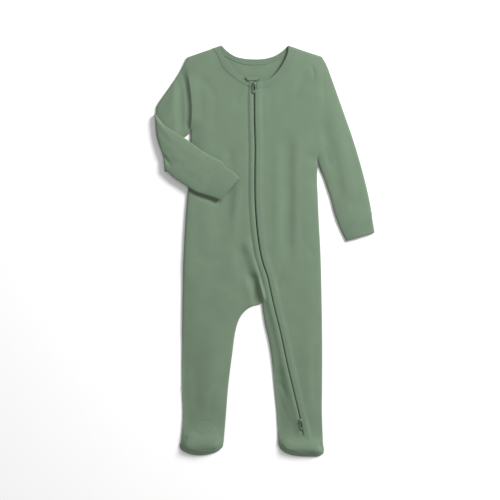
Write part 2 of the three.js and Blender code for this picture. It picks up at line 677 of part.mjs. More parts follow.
function leftSleeve() {
  const lines = tubeLines(LEFT_SLEEVE);
  const laid = layer(tubeOutline(lines, true), withFolds(SLEEVE_FOLDS), CLOTH, SLEEVE_HEIGHT / 2, 0);
  const rows = tubeGrid(lines, halves(0, lines.last), armhole(leftSide, 1));
  add("sleeve_left", wall([tubeRows(rows, laid, still)]), COLOURS.cloth);
}

function rightSleeve() {
  const upper = tubeLines(RIGHT_UPPER_ARM);
  const fore = tubeLines(RIGHT_FOREARM);
  const onUpper = layer(tubeOutline(upper, false), withFolds(UPPER_ARM_FOLDS), CLOTH, SLEEVE_HEIGHT / 2, 0);
  const onFore = layer(tubeOutline(fore, true), flatSleeve, CLOTH, SLEEVE_HEIGHT / 2, 0, forearmCrown);
  const upperRows = tubeGrid(upper, halves(0, upper.last), armhole(rightSide, -1));
  const foreRows = tubeGrid(fore, halves(0, fore.last).slice(1));
  const crease = upperRows.at(-1);
  const outward = crease.at(-1).clone().sub(crease[0]).normalize();
  outward.set(outward.y, -outward.x);
  const bends = Array.from({ length: FOLD_STEPS }, (_, k) => {
    const turn = (Math.PI * (k + 1)) / FOLD_STEPS;
    return tubeRows([crease], onUpper, (p) => {
      const arm = FOLD_AXIS - p.z;
      return new THREE.Vector3(
        p.x + outward.x * Math.sin(turn) * arm,
        p.y + outward.y * Math.sin(turn) * arm,
        FOLD_AXIS - Math.cos(turn) * arm,
      );
    })[0];
  });
  const tube = [...tubeRows(upperRows, onUpper, still), ...bends, ...tubeRows(foreRows, onFore, turnedOver)];
  add("sleeve_right", wall([tube]), COLOURS.cloth);
}

function cuff(name, table, mirrored, place, top, bottom) {
  const lines = tubeLines(table);
  const laid = layer(tubeOutline(lines, mirrored), top, RIB, SLEEVE_HEIGHT / 2, 0, bottom);
  const rows = tubeGrid(lines, Array.from({ length: lines.last + 1 }, (_, k) => k));
  add(name, wall([tubeRows(rows, laid, place)]), COLOURS.rib);
}
leftSleeve();
rightSleeve();
cuff("cuff_left", LEFT_CUFF, true, still, withFolds([]), () => 0);
cuff("cuff_right", RIGHT_CUFF, true, turnedOver, flatSleeve, forearmCrown);

// Neckband: on the front's layer, over the shoulder's fold and on the back's layer
function neckband() {
  const folds = NECKBAND.flatMap(({ layer: where }, k) => (where === "fold" ? [k] : []));
  const backMiddle = (folds[0] + folds[1]) / 2;
  const seam = smooth(column(NECKBAND, "seam"), [folds[0], backMiddle, folds[1]]);
  const free = smooth(column(NECKBAND, "free"), folds);
  const last = NECKBAND.length - 1;
  const besideTapes = [last - 0.38, last - 0.25];
  const extra = [...folds.flatMap((k) => [k - 0.2, k + 0.2]), ...besideTapes];
  const rows = withExtra(halves(0, last), extra).map((row) => {
    const under = row > folds[0] && row < folds[1];
    return [0, 0.35, 0.7, 1].map((u) => band(seam(row).lerp(free(row), u), under));
  });
  add("neckband", wall([rows]), COLOURS.rib);
}
neckband();

// Zip: each strip follows the zip's line between two offsets and two heights
function zipStrip(name, { from, to, bottom, top }, low, high, colour, metalness = 0) {
  const count = 40;
  const rows = Array.from({ length: count + 1 }, (_, k) => {
    const y = from + ((to - from) * k) / count;
    return [low, high].map((offset) => ({
      outer: new THREE.Vector3(zipX(y) + offset, y, top),
      inner: new THREE.Vector3(zipX(y) + offset, y, bottom),
    }));
  });
  add(name, wall([rows]), colour, metalness);
}
zipStrip("zip_tape_right", TAPE, -TAPE.outer, -TAPE.inner, COLOURS.tape);
zipStrip("zip_tape_left", TAPE, TAPE.inner, TAPE.outer, COLOURS.tape);
zipStrip("zip_chain", CHAIN, -CHAIN.halfWidth, CHAIN.halfWidth, COLOURS.chain);

function chinTab() {
  const { x, topY, bottomY, topHalf, bottomHalf, bottom, wall: thick } = TAB;
  const outline = new THREE.Shape([
    new THREE.Vector2(x - topHalf, topY),
    new THREE.Vector2(x - bottomHalf, bottomY),
    new THREE.Vector2(x + bottomHalf, bottomY),
    new THREE.Vector2(x + topHalf, topY),
  ]);
  const geometry = new THREE.ExtrudeGeometry(outline, { depth: thick, bevelEnabled: false });
  add("chin_tab", geometry.translate(0, 0, bottom), COLOURS.rib);
}
chinTab();

// Sliders and pulls
const wasm = await Module();
wasm.setup();

function solid(geometry) {
  geometry.deleteAttribute("normal");
  geometry.deleteAttribute("uv");
  const merged = mergeVertices(geometry.index ? geometry.toNonIndexed() : geometry, 1e-4);
  const vertProperties = merged.attributes.position.array;
  const triVerts = new Uint32Array(merged.index.array);
  return new wasm.Manifold(new wasm.Mesh({ numProp: 3, vertProperties, triVerts }));
}

function toGeometry(manifold) {
  const { vertProperties, triVerts } = manifold.getMesh();
  const geometry = new THREE.BufferGeometry();
  geometry.setAttribute("position", new THREE.BufferAttribute(new Float32Array(vertProperties), 3));
  geometry.setIndex(new THREE.BufferAttribute(new Uint32Array(triVerts), 1));
  geometry.computeVertexNormals();
  return geometry;
}

function block(width, length, bottom, top, y = 0) {
  return solid(new THREE.BoxGeometry(width, length, top - bottom).translate(0, y, (bottom + top) / 2));
}

// A plate with round ends, as wide as given, between two places along Y
function roundPlate(width, low, high, bottom, top) {
  const r = width / 2;
  const shape = new THREE.Shape();
  shape.absarc(0, high - r, r, 0, Math.PI);
  shape.absarc(0, low + r, r, Math.PI, 2 * Math.PI);
  const extrusion = { depth: top - bottom, bevelEnabled: false, curveSegments: 7 };
  const geometry = new THREE.ExtrudeGeometry(shape, extrusion);
  return solid(geometry.translate(0, 0, bottom));
}

const plateBottom = ZIP_TOP + SLIDER.lift;
const plateTop = plateBottom + SLIDER.plate;
const barHeight = plateTop + BRIDGE.height / 2;

function sliderShape() {
  const half = BRIDGE.opening / 2;
  const bridgeTop = plateTop + BRIDGE.height + BRIDGE.top;
  const posts = [-1, 1].map((side) =>
    block(BRIDGE.width, BRIDGE.post, plateTop - 0.2, bridgeTop, side * (half + BRIDGE.post / 2)),
  );
  const roof = block(BRIDGE.width, 2 * half + BRIDGE.post, bridgeTop - BRIDGE.top, bridgeTop);
  const keel = block(SLIDER.keelWidth, SLIDER.length * 0.7, SLIDER.keelBottom, plateBottom + 0.2);
  const plate = roundPlate(SLIDER.width, -SLIDER.length / 2, SLIDER.length / 2, plateBottom, plateTop);
  return toGeometry([keel, roof, ...posts].reduce((sum, next) => sum.add(next), plate));
}

function pullShape() {
  const half = PULL.wall / 2;
  const plate = roundPlate(PULL.width, -PULL.length, PULL.bar / 2, -half, half);
  const corners = block(PULL.width, PULL.width, -half, half, PULL.bar / 2 - PULL.width / 2);
  const slot = block(PULL.slot, PULL.slotEnd - PULL.bar / 2, -1, 1, -(PULL.slotEnd + PULL.bar / 2) / 2);
  return toGeometry(plate.add(corners).subtract(slot));
}

for (const [place, y] of Object.entries(SLIDER_Y)) {
  const heading = Math.atan2(zipX(y + 6) - zipX(y - 6), 12);
  const spot = new THREE.Group();
  spot.position.set(zipX(y), y, 0);
  spot.rotation.z = -heading;
  group.add(spot);
  const slider = add(`slider_${place}`, sliderShape(), COLOURS.metal, 0.4);
  const pull = add(`pull_${place}`, pullShape(), COLOURS.metal, 0.4);
  spot.add(slider, pull);
  pull.position.z = barHeight;
  pull.rotation.x = THREE.MathUtils.degToRad(PULL.droop);
}

// The frame's origin is under the middle of the laid garment
const MIDDLE = { x: -0.56, y: 0.84 };
group.position.set(-MIDDLE.x, -MIDDLE.y, 0);

export default group;
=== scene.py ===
import math
from collections import namedtuple

import bmesh
import bpy
import numpy as np
from mathutils import Matrix, Vector


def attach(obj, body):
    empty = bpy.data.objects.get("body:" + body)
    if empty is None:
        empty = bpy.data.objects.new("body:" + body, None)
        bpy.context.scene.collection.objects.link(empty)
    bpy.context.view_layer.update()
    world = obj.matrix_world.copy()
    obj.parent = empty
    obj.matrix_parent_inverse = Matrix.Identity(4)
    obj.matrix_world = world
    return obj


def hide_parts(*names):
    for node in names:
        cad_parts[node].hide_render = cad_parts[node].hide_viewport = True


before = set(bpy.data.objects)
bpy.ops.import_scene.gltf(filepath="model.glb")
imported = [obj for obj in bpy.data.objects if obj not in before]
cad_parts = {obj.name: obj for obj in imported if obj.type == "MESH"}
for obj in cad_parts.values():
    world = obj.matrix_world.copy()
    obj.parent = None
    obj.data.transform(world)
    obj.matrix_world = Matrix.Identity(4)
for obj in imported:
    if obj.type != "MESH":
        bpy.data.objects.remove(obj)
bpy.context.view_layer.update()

# Footed baby sleepsuit laid flat on its back, seen from straight above. The tables are in millimetres, with y
# towards the neck. MIDDLE is the place in them that comes to lie at the frame's origin.
MM = 0.001
MIDDLE = np.array([-0.56, 0.84, 0.0])

# Cloth, with its heights over the surface that the garment lies on
JERSEY_WALL = 0.9
RIB_WALL = 1.1
SEAM_GAP = 0.05
SEAM_HEIGHT = 2.4
LAID = 4.4
CROWN = 2.7
CROWN_REACH = 30
LOWEST = 3.1
LOWEST_CREASE = 2.0
HIGHEST = 14

# How far in from the outline the cloth is rounded off, and how the toes slope instead
ROUND = 3.6
TOE_SLOPE = 9.5
TOE_Y = (-340, -352)
TOE_CURVE = 1.25

# Places across and along a piece that are close together at its edges
EDGE_STEPS = (0, 0.05, 0.3, 0.8, 1.6, 2.5, ROUND)
ZIP_STEPS = (0, 0.05, 0.4, 0.9, 1.5, 2.4, 3.6)
ROWS_EACH = 14
END_ROW = 0.002

# Zip: the space between the cloth edges, the ridge of cloth along it, and the tapes, coil and tab
ZIP_GAP = 2.0
LEG_ZIP_GAP = 1.3
ZIP_TOP = 8.4
ZIP_FLAT = 9.6
ZIP_SLOPE = 6.5
ZIP_END_Y = -331
ROLL_WIDTH = 1.9
ROLL_DEPTH = 1.1
TAPE_TOP = 6.5
TAPE_WALL = 0.8
TAPE_ENDS = (-329, 310)
TAPE_SIDES = (1.6, 7.6)
CHAIN_MIDDLE = 5.9
COIL_ENDS = (-328, 307)
COIL_SPACING = 1.4
COIL_RADIUS = 0.5
COIL_LENGTH = 2.2
COIL_ASIDE = 0.35
METAL_ROUND = 0.16
TAB_X = -22.5
TAB_WALL = 0.5
TAB_TOP = 10.02

# Beside the zip: valleys along the stitching, and slanting puckers between them and the zip
Swell = namedtuple("Swell", "aside spread rise")
VALLEYS = [Swell(-11.4, 2.6, -1.25), Swell(11.8, 2.8, -0.35)]
PUCKERS = [Swell(-6.4, 3.1, 0.34), Swell(6.2, 3.0, 0.153)]
PUCKER_SPACING = 12.5
PUCKER_SLANT = 0.75
PLACKET_FROM = (-337, -323)
PLACKET_TO = (306, 316)

# Sleeves
SLEEVE_HEIGHT = 4.4
ARMHOLE_LAP = 0.1
FOLD_AXIS = 6.6
FOLD_STEPS = 12
FOREARM_CROWN = 2.2
ELBOW_DROP = 3.2
FLATTEST_AT_ELBOW = (0, 27)  # places in the folded ring where it bulges least

# Stitches
THREAD_RADIUS = 0.24
STITCH_ASIDE = 7.4
NECK_STITCH_IN = 2.6
FOOT_STITCH_UP = 2.0
WRIST_STITCH_BACK = 3.2

ZIP_LINE = [
    (72, -345), (64.3, -303), (52.9, -254), (41, -204), (28.4, -145), (18.4, -105), (10.6, -70), (5.6, -47),
    (-4.5, -16), (-12.2, 28), (-17.2, 97), (-17, 192), (-18.4, 238), (-18.5, 290), (-17.6, 320),
]

Half = namedtuple("Half", "side front back")
RIGHT_HALF = [
    Half((-150, -341), (-73.4, -341), (-73.4, -341)),
    Half((-146.7, -295), (-69.6, -297), (-69.6, -297)),
    Half((-148, -238), (-65, -240), (-65, -240)),
    Half((-148, -182), (-58, -184), (-58, -184)),
    Half((-148, -137), (-51.4, -139.3), (-51.4, -139.3)),
    Half((-147.6, -98), (-43, -117), (-43, -117)),
    Half((-147, -62), (-27, -100.6), (-27, -100.6)),
    Half((-146.5, -30), (-4.5, -93.2), (-4.5, -93.2)),
    Half((-145, 6), (-8.5, -55), (-8, -50)),
    Half((-142.4, 56), (-21, 10), (-12, 20)),
    Half((-138.4, 105), (-28, 75), (-15, 85)),
    Half((-134.4, 162), (-28.7, 140), (-16.5, 150)),
    Half((-132.3, 217.5), (-29.6, 200), (-17, 215)),
    Half((-129.8, 246), (-30.4, 245), (-17.3, 262)),
    Half((-130.5, 273), (-31.5, 296), (-17.5, 336)),
    Half((-133.5, 300), (-55.5, 311.3), (-37, 337.6)),
    Half((-136.6, 322), (-75.4, 330), (-58, 345)),
    Half((-138.2, 336.5), (-86, 353), (-76, 354)),
    Half((-138.9, 349.2), (-94.5, 364.6), (-94.5, 364.6)),
]
CROTCH_ROW = 7
ARMPIT_ROW = 12
NECK_ROW = 14
LAST_ROW = 18

Strip = namedtuple("Strip", "inside zip_y")
INSIDE_STRIP = [
    Strip((25, -347), -331), Strip((22.6, -291), -287), Strip((17.4, -238), -236), Strip((11.8, -184), -182),
    Strip((6, -152), -151), Strip((1.3, -133), -133), Strip((-2.2, -112), -112), Strip((-4.5, -93.2), -93),
    Strip((-8.5, -55), -56), Strip((-21, 10), 10), Strip((-28, 75), 75), Strip((-28.7, 140), 140),
    Strip((-29.6, 200), 200), Strip((-30.4, 245), 245), Strip((-31.5, 296), 292),
]

LEFT_ZIP_Y = (-331, -287, -236, -182, -142, -104, -70, -40, 2, 52, 96, 140, 186, 240, 291.3)
LEFT_NECK = [(-18.5, 291.3), (13.5, 295.8), (31.5, 312), (43.5, 335), (59.5, 364.6)]
LEFT_SIDE = [
    (105.2, -347), (103.3, -291), (103.6, -238), (103.9, -182), (103.6, -142), (103.1, -104), (102.4, -68),
    (101.7, -33), (100.3, 6), (97.6, 56), (95.8, 98), (94.5, 132), (95.2, 164.2), (86.8, 207), (84.4, 250),
    (86.3, 292), (91, 322), (97, 339), (103.3, 350),
]
LEFT_BACK = [
    (25, -347), (22.6, -291), (17.4, -238), (11.8, -184), (6, -152), (1.3, -133), (-2.2, -112), (-4.5, -93.2),
    (-8, -50), (-12, 20), (-15, 85), (-16.5, 150), (-17, 215), (-17.3, 262), (-17.5, 336), (2, 337.6),
    (23, 345), (41, 354), (59.5, 364.6),
]

Foot = namedtuple("Foot", "outline arch middle")
FEET = {
    "right": Foot(
        [(-150.2, -341.7), (-152.4, -347.5), (-150.8, -355), (-138, -363.2), (-117.9, -366.5),
         (-97.7, -364.2), (-83.5, -358.7), (-75.5, -351), (-73.5, -341.7)],
        [(-150, -341), (-140, -334), (-130, -320), (-119, -308.5), (-104, -305.5), (-88, -315), (-80, -330),
         (-73.4, -341)],
        (-112, -338),
    ),
    "left": Foot(
        [(25.1, -347.7), (28.4, -354.5), (37.4, -362), (52, -366.7), (80.1, -368.8), (97.4, -368),
         (105.8, -362.6), (106.8, -354.5), (105.3, -347.7)],
        [(25, -347), (36, -338.5), (52, -333.2), (69, -331.6), (86, -333.4), (97, -338.5), (105.2, -347)],
        (66, -342),
    ),
}
RIM = 9

Edges = namedtuple("Edges", "over under")
RIGHT_UPPER_ARM = Edges(
    [(-139.8, 348.8), (-153, 322.6), (-166.7, 301.1), (-180.6, 281.6), (-193, 262.5), (-195.8, 247)],
    [(-133.2, 217.5), (-138.2, 210.5), (-144.8, 203.6), (-154, 184), (-164.8, 162), (-174.6, 143.6)],
)
RIGHT_FOREARM = Edges(
    [(-195.8, 247), (-178, 225.5), (-157, 212), (-136, 198.4), (-117, 184.4), (-98, 172.2), (-76.4, 161.8)],
    [(-174.6, 143.6), (-163.5, 132.6), (-151, 124.4), (-138.1, 116.1), (-128, 109.4), (-119, 105),
     (-110.8, 102.5)],
)
RIGHT_CUFF = Edges(
    [(-75.2, 160.8), (-69.2, 151.6), (-57, 144), (-44.3, 131.4)],
    [(-109.8, 102), (-103.8, 100), (-92.5, 97), (-80.1, 91.8)],
)
LEFT_SLEEVE = Edges(
    [(104.3, 349), (111.6, 336), (120.2, 313), (137.5, 264), (157.7, 206.5), (168.6, 171.5), (178.4, 136),
     (186.6, 102), (193.5, 66.4)],
    [(96, 164), (97.6, 157), (100.6, 148), (107.3, 129.6), (113.2, 112), (118.6, 95.9), (123.2, 77),
     (127, 64), (130.4, 53.6)],
)
LEFT_CUFF = Edges([(193, 65.6), (194.6, 55), (198.1, 34.2)], [(131, 53), (135.4, 42), (146.5, 18.8)])

Band = namedtuple("Band", "seam free layer")
NECKBAND = [
    Band((-19.3, 292.3), (-19.3, 311), "front"), Band((-31.5, 297.1), (-33, 311.6), "front"),
    Band((-55, 312.4), (-49.6, 322), "front"), Band((-74.5, 330.7), (-63, 339.6), "front"),
    Band((-85, 353.3), (-77.6, 358), "front"), Band((-93.6, 365.2), (-77.2, 370.6), "fold"),
    Band((-75.7, 355), (-66.2, 359.5), "back"), Band((-57.7, 346), (-51.5, 350.6), "back"),
    Band((-36.8, 338.6), (-34.5, 346.8), "back"), Band((-17.5, 337), (-17.5, 345.8), "back"),
    Band((1.8, 338.6), (-0.5, 346.8), "back"), Band((22.7, 346), (16.5, 351.2), "back"),
    Band((40.7, 355), (31.4, 360), "back"), Band((58.6, 365.2), (42.8, 370.6), "fold"),
    Band((51.5, 353.6), (41.8, 357.6), "front"), Band((42.6, 335.4), (32.6, 336.6), "front"),
    Band((30.6, 313.2), (18.2, 317.5), "front"), Band((13.1, 296.9), (3.6, 307.4), "front"),
    Band((-15.7, 292.3), (-15.7, 304), "front"),
]

# Folds: the line that each follows, how far it reaches to each side, how high it stands or, where the rise is
# negative, how deep it lies, and the share of its length over which it fades at either end.
Fold = namedtuple("Fold", "name line reach rise fade", defaults=(0.25,))
FRONT_FOLDS = [
    Fold("crotch trough", [(-33, 8), (-17, -74)], 15, -2.4),
    Fold("crotch hollow", [(-16, -44), (-12, -96)], 10, -4.2),
    Fold("ridge beside the crotch", [(-24, 4), (2, -94)], 10, 1.5),
    Fold("left body trough", [(41, 226), (41, -34)], 16, -1.8),
    Fold("ridge inside it", [(21, 216), (22, -18)], 12, 0.8),
    Fold("ridge outside it", [(59, 228), (57, -34)], 13, 0.9),
    Fold("right chest ridge", [(-106, 322), (-108, 4)], 22, 1.1),
    Fold("right chest dimple", [(-62, 186), (-63, 148)], 14, -1.2),
    Fold("press of the cuff", [(-62, 126), (-66, 52)], 14, -1.0),
    Fold("right leg's outer side", [(-150, -150), (-150, -372)], 46, -1.8),
    Fold("right leg crown", [(-96, -110), (-98, -306)], 30, 1.0),
    Fold("left leg's inner side", [(20, -190), (26, -352)], 22, -1.2),
    Fold("left leg crown", [(80, -110), (84, -310)], 24, 0.9),
    Fold("right ankle", [(-164, -300), (-60, -300)], 36, -1.4),
    Fold("left ankle", [(10, -318), (122, -318)], 26, -1.2),
    Fold("right toe", [(-160, -350), (-66, -350)], 40, 5.4),
    Fold("left toe", [(14, -355), (120, -355)], 30, 4.8),
]
SLEEVE_FOLDS = [
    Fold("left sleeve trough", [(100, 250), (142, 78)], 16, -1.2),
    Fold("left sleeve ridge", [(120, 270), (160, 84)], 18, 0.7),
]
UPPER_ARM_FOLDS = [Fold("hollow beside the armhole", [(-151, 342), (-147, 196)], 16, -3.6)]

# Finer creases on the same cloth
FRONT_CREASES = [
    Fold("core of the crotch hollow", [(-27, -34), (-16, -70), (-11, -106)], 12, -5.6, 0.3),
    Fold("slack left of the crotch hollow", [(-42, -44), (-38, -70), (-36, -98)], 20, -0.8, 0.2),
    Fold("ridge above the crotch", [(-32, 34), (-26, -14), (-14, -50)], 13, 1.9),
    Fold("ridge over the crotch", [(-17, -46), (-6, -68), (2, -92)], 7, 3.6, 0.2),
    Fold("trough left of that ridge", [(-46, 16), (-41, -20), (-33, -60)], 17, -1.7),
    Fold("torso edge over the armhole", [(-136, 324), (-130, 273), (-129, 246), (-131, 214)], 20, 2.2),
    Fold("fullness along the right side", [(-133, 150), (-138, 80), (-142, 10), (-145, -80)], 24, 1.9),
    Fold("pressed below the cuff", [(-64, 132), (-72, 100), (-78, 60), (-80, 14)], 24, -1.4),
    Fold("ridge right of the cuff", [(-42, 128), (-48, 96), (-53, 60), (-55, 20)], 11, 0.8),
    Fold("hollow under the forearm", [(-137, 118), (-119, 104), (-98, 95), (-76, 88)], 10, -3.0, 0.12),
    Fold("crease over the left thigh", [(6, -96), (22, -60), (34, -20)], 9, -0.6),
    Fold("crease inside the right leg", [(-30, -102), (-46, -140), (-52, -200)], 10, -0.6),
    Fold("slant across the right thigh", [(-118, -30), (-84, -66), (-50, -88)], 18, 0.3),
    Fold("right shin hollow", [(-128, -196), (-122, -250), (-126, -296)], 13, -0.5),
    Fold("outer side of the right leg", [(-130, -120), (-130, -230), (-132, -346)], 42, -1.9, 0.35),
    Fold("inner side of the left leg", [(22, -170), (31, -270), (37, -345)], 24, -2.2, 0.35),
    Fold("strip crease", [(18, -206), (30, -240), (42, -266)], 5, -0.7),
    Fold("lower strip crease", [(24, -262), (36, -286), (50, -312)], 5, -0.7),
    Fold("right toe crest", [(-156, -352), (-68, -352)], 30, 2.9),
    Fold("left toe crest", [(18, -357), (114, -357)], 26, 2.7),
    Fold("right leg pull", [(-72, -212), (-92, -250), (-100, -300)], 11, -0.5),
    Fold("left leg pucker", [(19, -224), (32, -232), (46, -243)], 8, 0.8),
    Fold("left leg hollow", [(92, -150), (88, -220), (94, -290)], 9, -0.5),
    Fold("waist sag", [(-124, -6), (-92, -14), (-56, 2)], 16, -0.5),
    Fold("left waist sag", [(60, 30), (78, 10), (92, -16)], 12, -0.5),
    Fold("right shoulder pull", [(-122, 318), (-104, 300), (-84, 268)], 12, -0.5),
    Fold("left shoulder pull", [(76, 330), (62, 300), (54, 262)], 12, -0.6),
    Fold("left armpit pull", [(90, 176), (74, 166), (56, 150)], 9, -0.6),
    Fold("left armpit fold", [(88, 206), (70, 190), (52, 182)], 8, 0.4),
    Fold("neck pucker", [(-36, 300), (-48, 280), (-52, 252)], 9, -0.5),
    Fold("below the chin", [(14, 290), (10, 262), (12, 226)], 8, -0.4),
    Fold("right instep crease", [(-132, -318), (-112, -330), (-92, -322)], 6, -0.7),
    Fold("left instep crease", [(40, -336), (62, -342), (88, -337)], 5, -0.6),
    Fold("dark fold of the right foot", [(-151, -346), (-144, -338), (-138, -333)], 5, -1.4),
    Fold("short crease at the left shoulder", [(86, 334), (88, 322), (90, 306)], 5, -0.9),
]
SLEEVE_CREASES = [
    Fold("left armpit drag", [(96, 196), (110, 176), (118, 150)], 9, -0.7),
    Fold("left elbow crease", [(150, 176), (136, 164), (124, 160)], 8, -0.5),
    Fold("left wrist pull", [(176, 108), (164, 92), (150, 74)], 9, -0.5),
    Fold("shoulder drag", [(100, 330), (106, 290), (108, 250)], 9, -0.4),
]
UPPER_ARM_CREASES = [
    Fold("torso edge over the armhole", [(-136, 324), (-130, 273), (-129, 246), (-131, 214)], 5.5, 2.2),
    Fold(
        "foot of the armhole's slope", [(-144, 322), (-138, 280), (-136.5, 246), (-138, 212)], 8, -2.4, 0.15,
    ),
    Fold("drag to the elbow", [(-150, 262), (-166, 236), (-178, 218)], 10, -0.6),
    Fold("shoulder ridge", [(-150, 304), (-164, 276), (-172, 250)], 10, 0.6),
]
FOREARM_CREASES = [
    Fold("elbow drag", [(-186, 216), (-170, 196), (-150, 186)], 9, -0.6),
    Fold("elbow hollow", [(-176, 168), (-160, 158), (-142, 154)], 11, -0.7),
    Fold("forearm ridge", [(-160, 196), (-130, 176), (-100, 160)], 10, 0.4),
    Fold("forearm trough", [(-150, 142), (-128, 132), (-112, 122)], 9, -0.4),
    Fold("wrist pull", [(-84, 150), (-96, 142), (-112, 138)], 7, -0.5),
]


# Lines

def along(points, share):
    """A place on the smooth line through the points, at its share from 0 to 1"""
    place = min(max(share, 0.0), 1.0) * (len(points) - 1)
    k = min(int(place), len(points) - 2)
    w = place - k
    p1, p2 = points[k], points[k + 1]
    p0 = points[k - 1] if k > 0 else 2 * p1 - p2
    p3 = points[k + 2] if k + 2 < len(points) else 2 * p2 - p1
    d0, d1, d2 = (max(np.linalg.norm(b - a), 1e-6) ** 0.5 for a, b in ((p0, p1), (p1, p2), (p2, p3)))
    m1 = ((p1 - p0) / d0 - (p2 - p0) / (d0 + d1) + (p2 - p1) / d1) * d1
    m2 = ((p2 - p1) / d1 - (p3 - p1) / (d1 + d2) + (p3 - p2) / d2) * d1
    return p1 + m1 * w + (3 * (p2 - p1) - 2 * m1 - m2) * w**2 + (2 * (p1 - p2) + m1 + m2) * w**3


def smooth(points, corners=()):
    """A smooth line through a table's points, read by row number, with sharp turns at the corner rows"""
    points = np.array(points, float)
    ends = [0, *corners, len(points) - 1]

    def at(row):
        k = 0
        while k < len(ends) - 2 and row > ends[k + 1]:
            k += 1
        return along(points[ends[k]:ends[k + 1] + 1], (row - ends[k]) / (ends[k + 1] - ends[k]))

    return at


def sampled(line, start, end, count=48):
    return np.array([line(start + (end - start) * k / count) for k in range(count + 1)])


def by_share(points):
    """A smooth line read by its share of the length"""
    points = np.array(points, float)
    line = np.array([along(points, k / 240) for k in range(241)])
    walked = np.concatenate([[0], np.cumsum(np.linalg.norm(np.diff(line, axis=0), axis=1))])
    walked /= walked[-1]
    return lambda u: np.array([np.interp(u, walked, line[:, 0]), np.interp(u, walked, line[:, 1])])


zip_points = sampled(smooth(ZIP_LINE), 0, len(ZIP_LINE) - 1, 140)


def zip_x(y):
    """Where the zip lies across, at a height along the body"""
    return np.interp(y, zip_points[:, 1], zip_points[:, 0])


def zip_gap(y):
    """Space between the two cloth edges over the coil, wider on the torso than on the leg"""
    return LEG_ZIP_GAP + (ZIP_GAP - LEG_ZIP_GAP) * smoothstep(y, -120, 60)


def smoothstep(x, low, high):
    t = np.clip((x - low) / (high - low), 0, 1)
    return t * t * (3 - 2 * t)


def nearest(line, x, y):
    """Distance of each point from a line, and the share of the line where it comes nearest"""
    best = np.full(np.shape(x), np.inf)
    share = np.zeros(np.shape(x))
    for k, (a, b) in enumerate(zip(line, line[1:])):
        d = b - a
        s = np.clip(((x - a[0]) * d[0] + (y - a[1]) * d[1]) / (d @ d), 0, 1)
        distance = np.hypot(x - a[0] - s * d[0], y - a[1] - s * d[1])
        share = np.where(distance < best, (k + s) / (len(line) - 1), share)
        best = np.minimum(distance, best)
    return best, share


# Height of the laid cloth

def fold_height(fold, x, y):
    pieces = 1 if len(fold.line) == 2 else 12
    line = sampled(smooth(fold.line), 0, len(fold.line) - 1, pieces)
    across, share = nearest(line, x, y)
    fade = smoothstep(share, 0, fold.fade) * (1 - smoothstep(share, 1 - fold.fade, 1))
    return fold.rise * fade * (1 + np.cos(np.pi * np.minimum(across / fold.reach, 1))) / 2


def folded(folds, x, y):
    return sum(fold_height(fold, x, y) for fold in folds)


def crown(lines, x, y):
    """How far the cloth has risen away from the outline that carries it, from 0 to 1"""
    return 1 - (1 - slope(lines, x, y, CROWN_REACH)) ** 2


def rumple(x, y):
    """The broad, uneven waviness of jersey that was laid down by hand"""
    across = np.sin(0.052 * x + 1.4 * np.sin(0.021 * y + 0.6))
    down = np.sin(0.034 * y + 1.1 * np.sin(0.03 * x) + 0.4)
    small = np.sin(0.115 * x + 0.06 * y + 1.3 * np.sin(0.04 * y)) * np.sin(0.083 * y - 0.05 * x + 2.0)
    return 0.34 * (across * down) + 0.13 * small


def with_folds(folds, creases):
    """Height of laid cloth away from its edges: the crowned form, its main folds and its finer creases"""
    def top(x, y):
        rise = crown(GARMENT_OUTLINE, x, y)
        height = np.clip(LAID + CROWN * rise + folded(folds, x, y), LOWEST, HIGHEST)
        return np.maximum(height + folded(creases, x, y) + rumple(x, y) * rise, LOWEST_CREASE)

    return top


def swelled(swells, aside):
    return sum(swell.rise * np.exp(-(((aside - swell.aside) / swell.spread) ** 2)) for swell in swells)


def placket(aside, y):
    """What the zip's seam does to the cloth beside it, with puckers that come and go along it"""
    strength = 0.5 + 0.3 * np.sin(0.031 * y + 1.7) + 0.2 * np.sin(0.083 * y)
    along_zip = y + PUCKER_SLANT * aside + 3 * np.sin(0.05 * y)
    wave = np.sin(2 * np.pi * along_zip / PUCKER_SPACING)
    return swelled(VALLEYS, aside) + strength * wave * swelled(PUCKERS, aside)


def front_top(x, y):
    """Height of the front over the surface, away from the outline"""
    height = with_folds(FRONT_FOLDS, FRONT_CREASES)(x, y)
    aside = x - zip_x(y)
    cover = 1 - smoothstep(np.abs(aside), ZIP_FLAT, ZIP_FLAT + ZIP_SLOPE)
    height = height + (np.maximum(height, ZIP_TOP) - height) * cover
    here = smoothstep(y, *PLACKET_FROM) * (1 - smoothstep(y, *PLACKET_TO))
    edge = zip_gap(y) / 2
    rolled = 1 - smoothstep(np.abs(aside), edge, edge + ROLL_WIDTH)
    return height + (placket(aside, y) - ROLL_DEPTH * rolled) * here


def slope(outlines, x, y, reach):
    """Distance inwards from the outlines as a share of a reach, up to 1"""
    return np.minimum(np.minimum.reduce([nearest(line, x, y)[0] for line in outlines]) / reach, 1)


def rounding(outlines, x, y):
    """How far the cloth has risen from its outline, from 0 to 1"""
    return np.sqrt(1 - (1 - slope(outlines, x, y, ROUND)) ** 2)


def flat(x, y):
    return np.zeros(np.shape(x))


def laid(outlines, top, seam=SEAM_HEIGHT, gap=SEAM_GAP, bottom=flat, toe=False):
    """Lays flat places as cloth inside an outline. On top it falls away to the seam, and underneath it
    curls up to it."""
    def lay(places, under=False):
        x, y = places[..., 0], places[..., 1]
        rise = rounding(outlines, x, y)
        if under:
            return np.dstack([x, y, seam - gap + (bottom(x, y) - seam + gap) * rise])
        if toe:
            sloped = 1 - (1 - slope(outlines, x, y, TOE_SLOPE)) ** TOE_CURVE
            rise = rise + (sloped - rise) * smoothstep(y, *TOE_Y)
        return np.dstack([x, y, seam + (top(x, y) - seam) * rise])

    return lay


# Grids of flat places

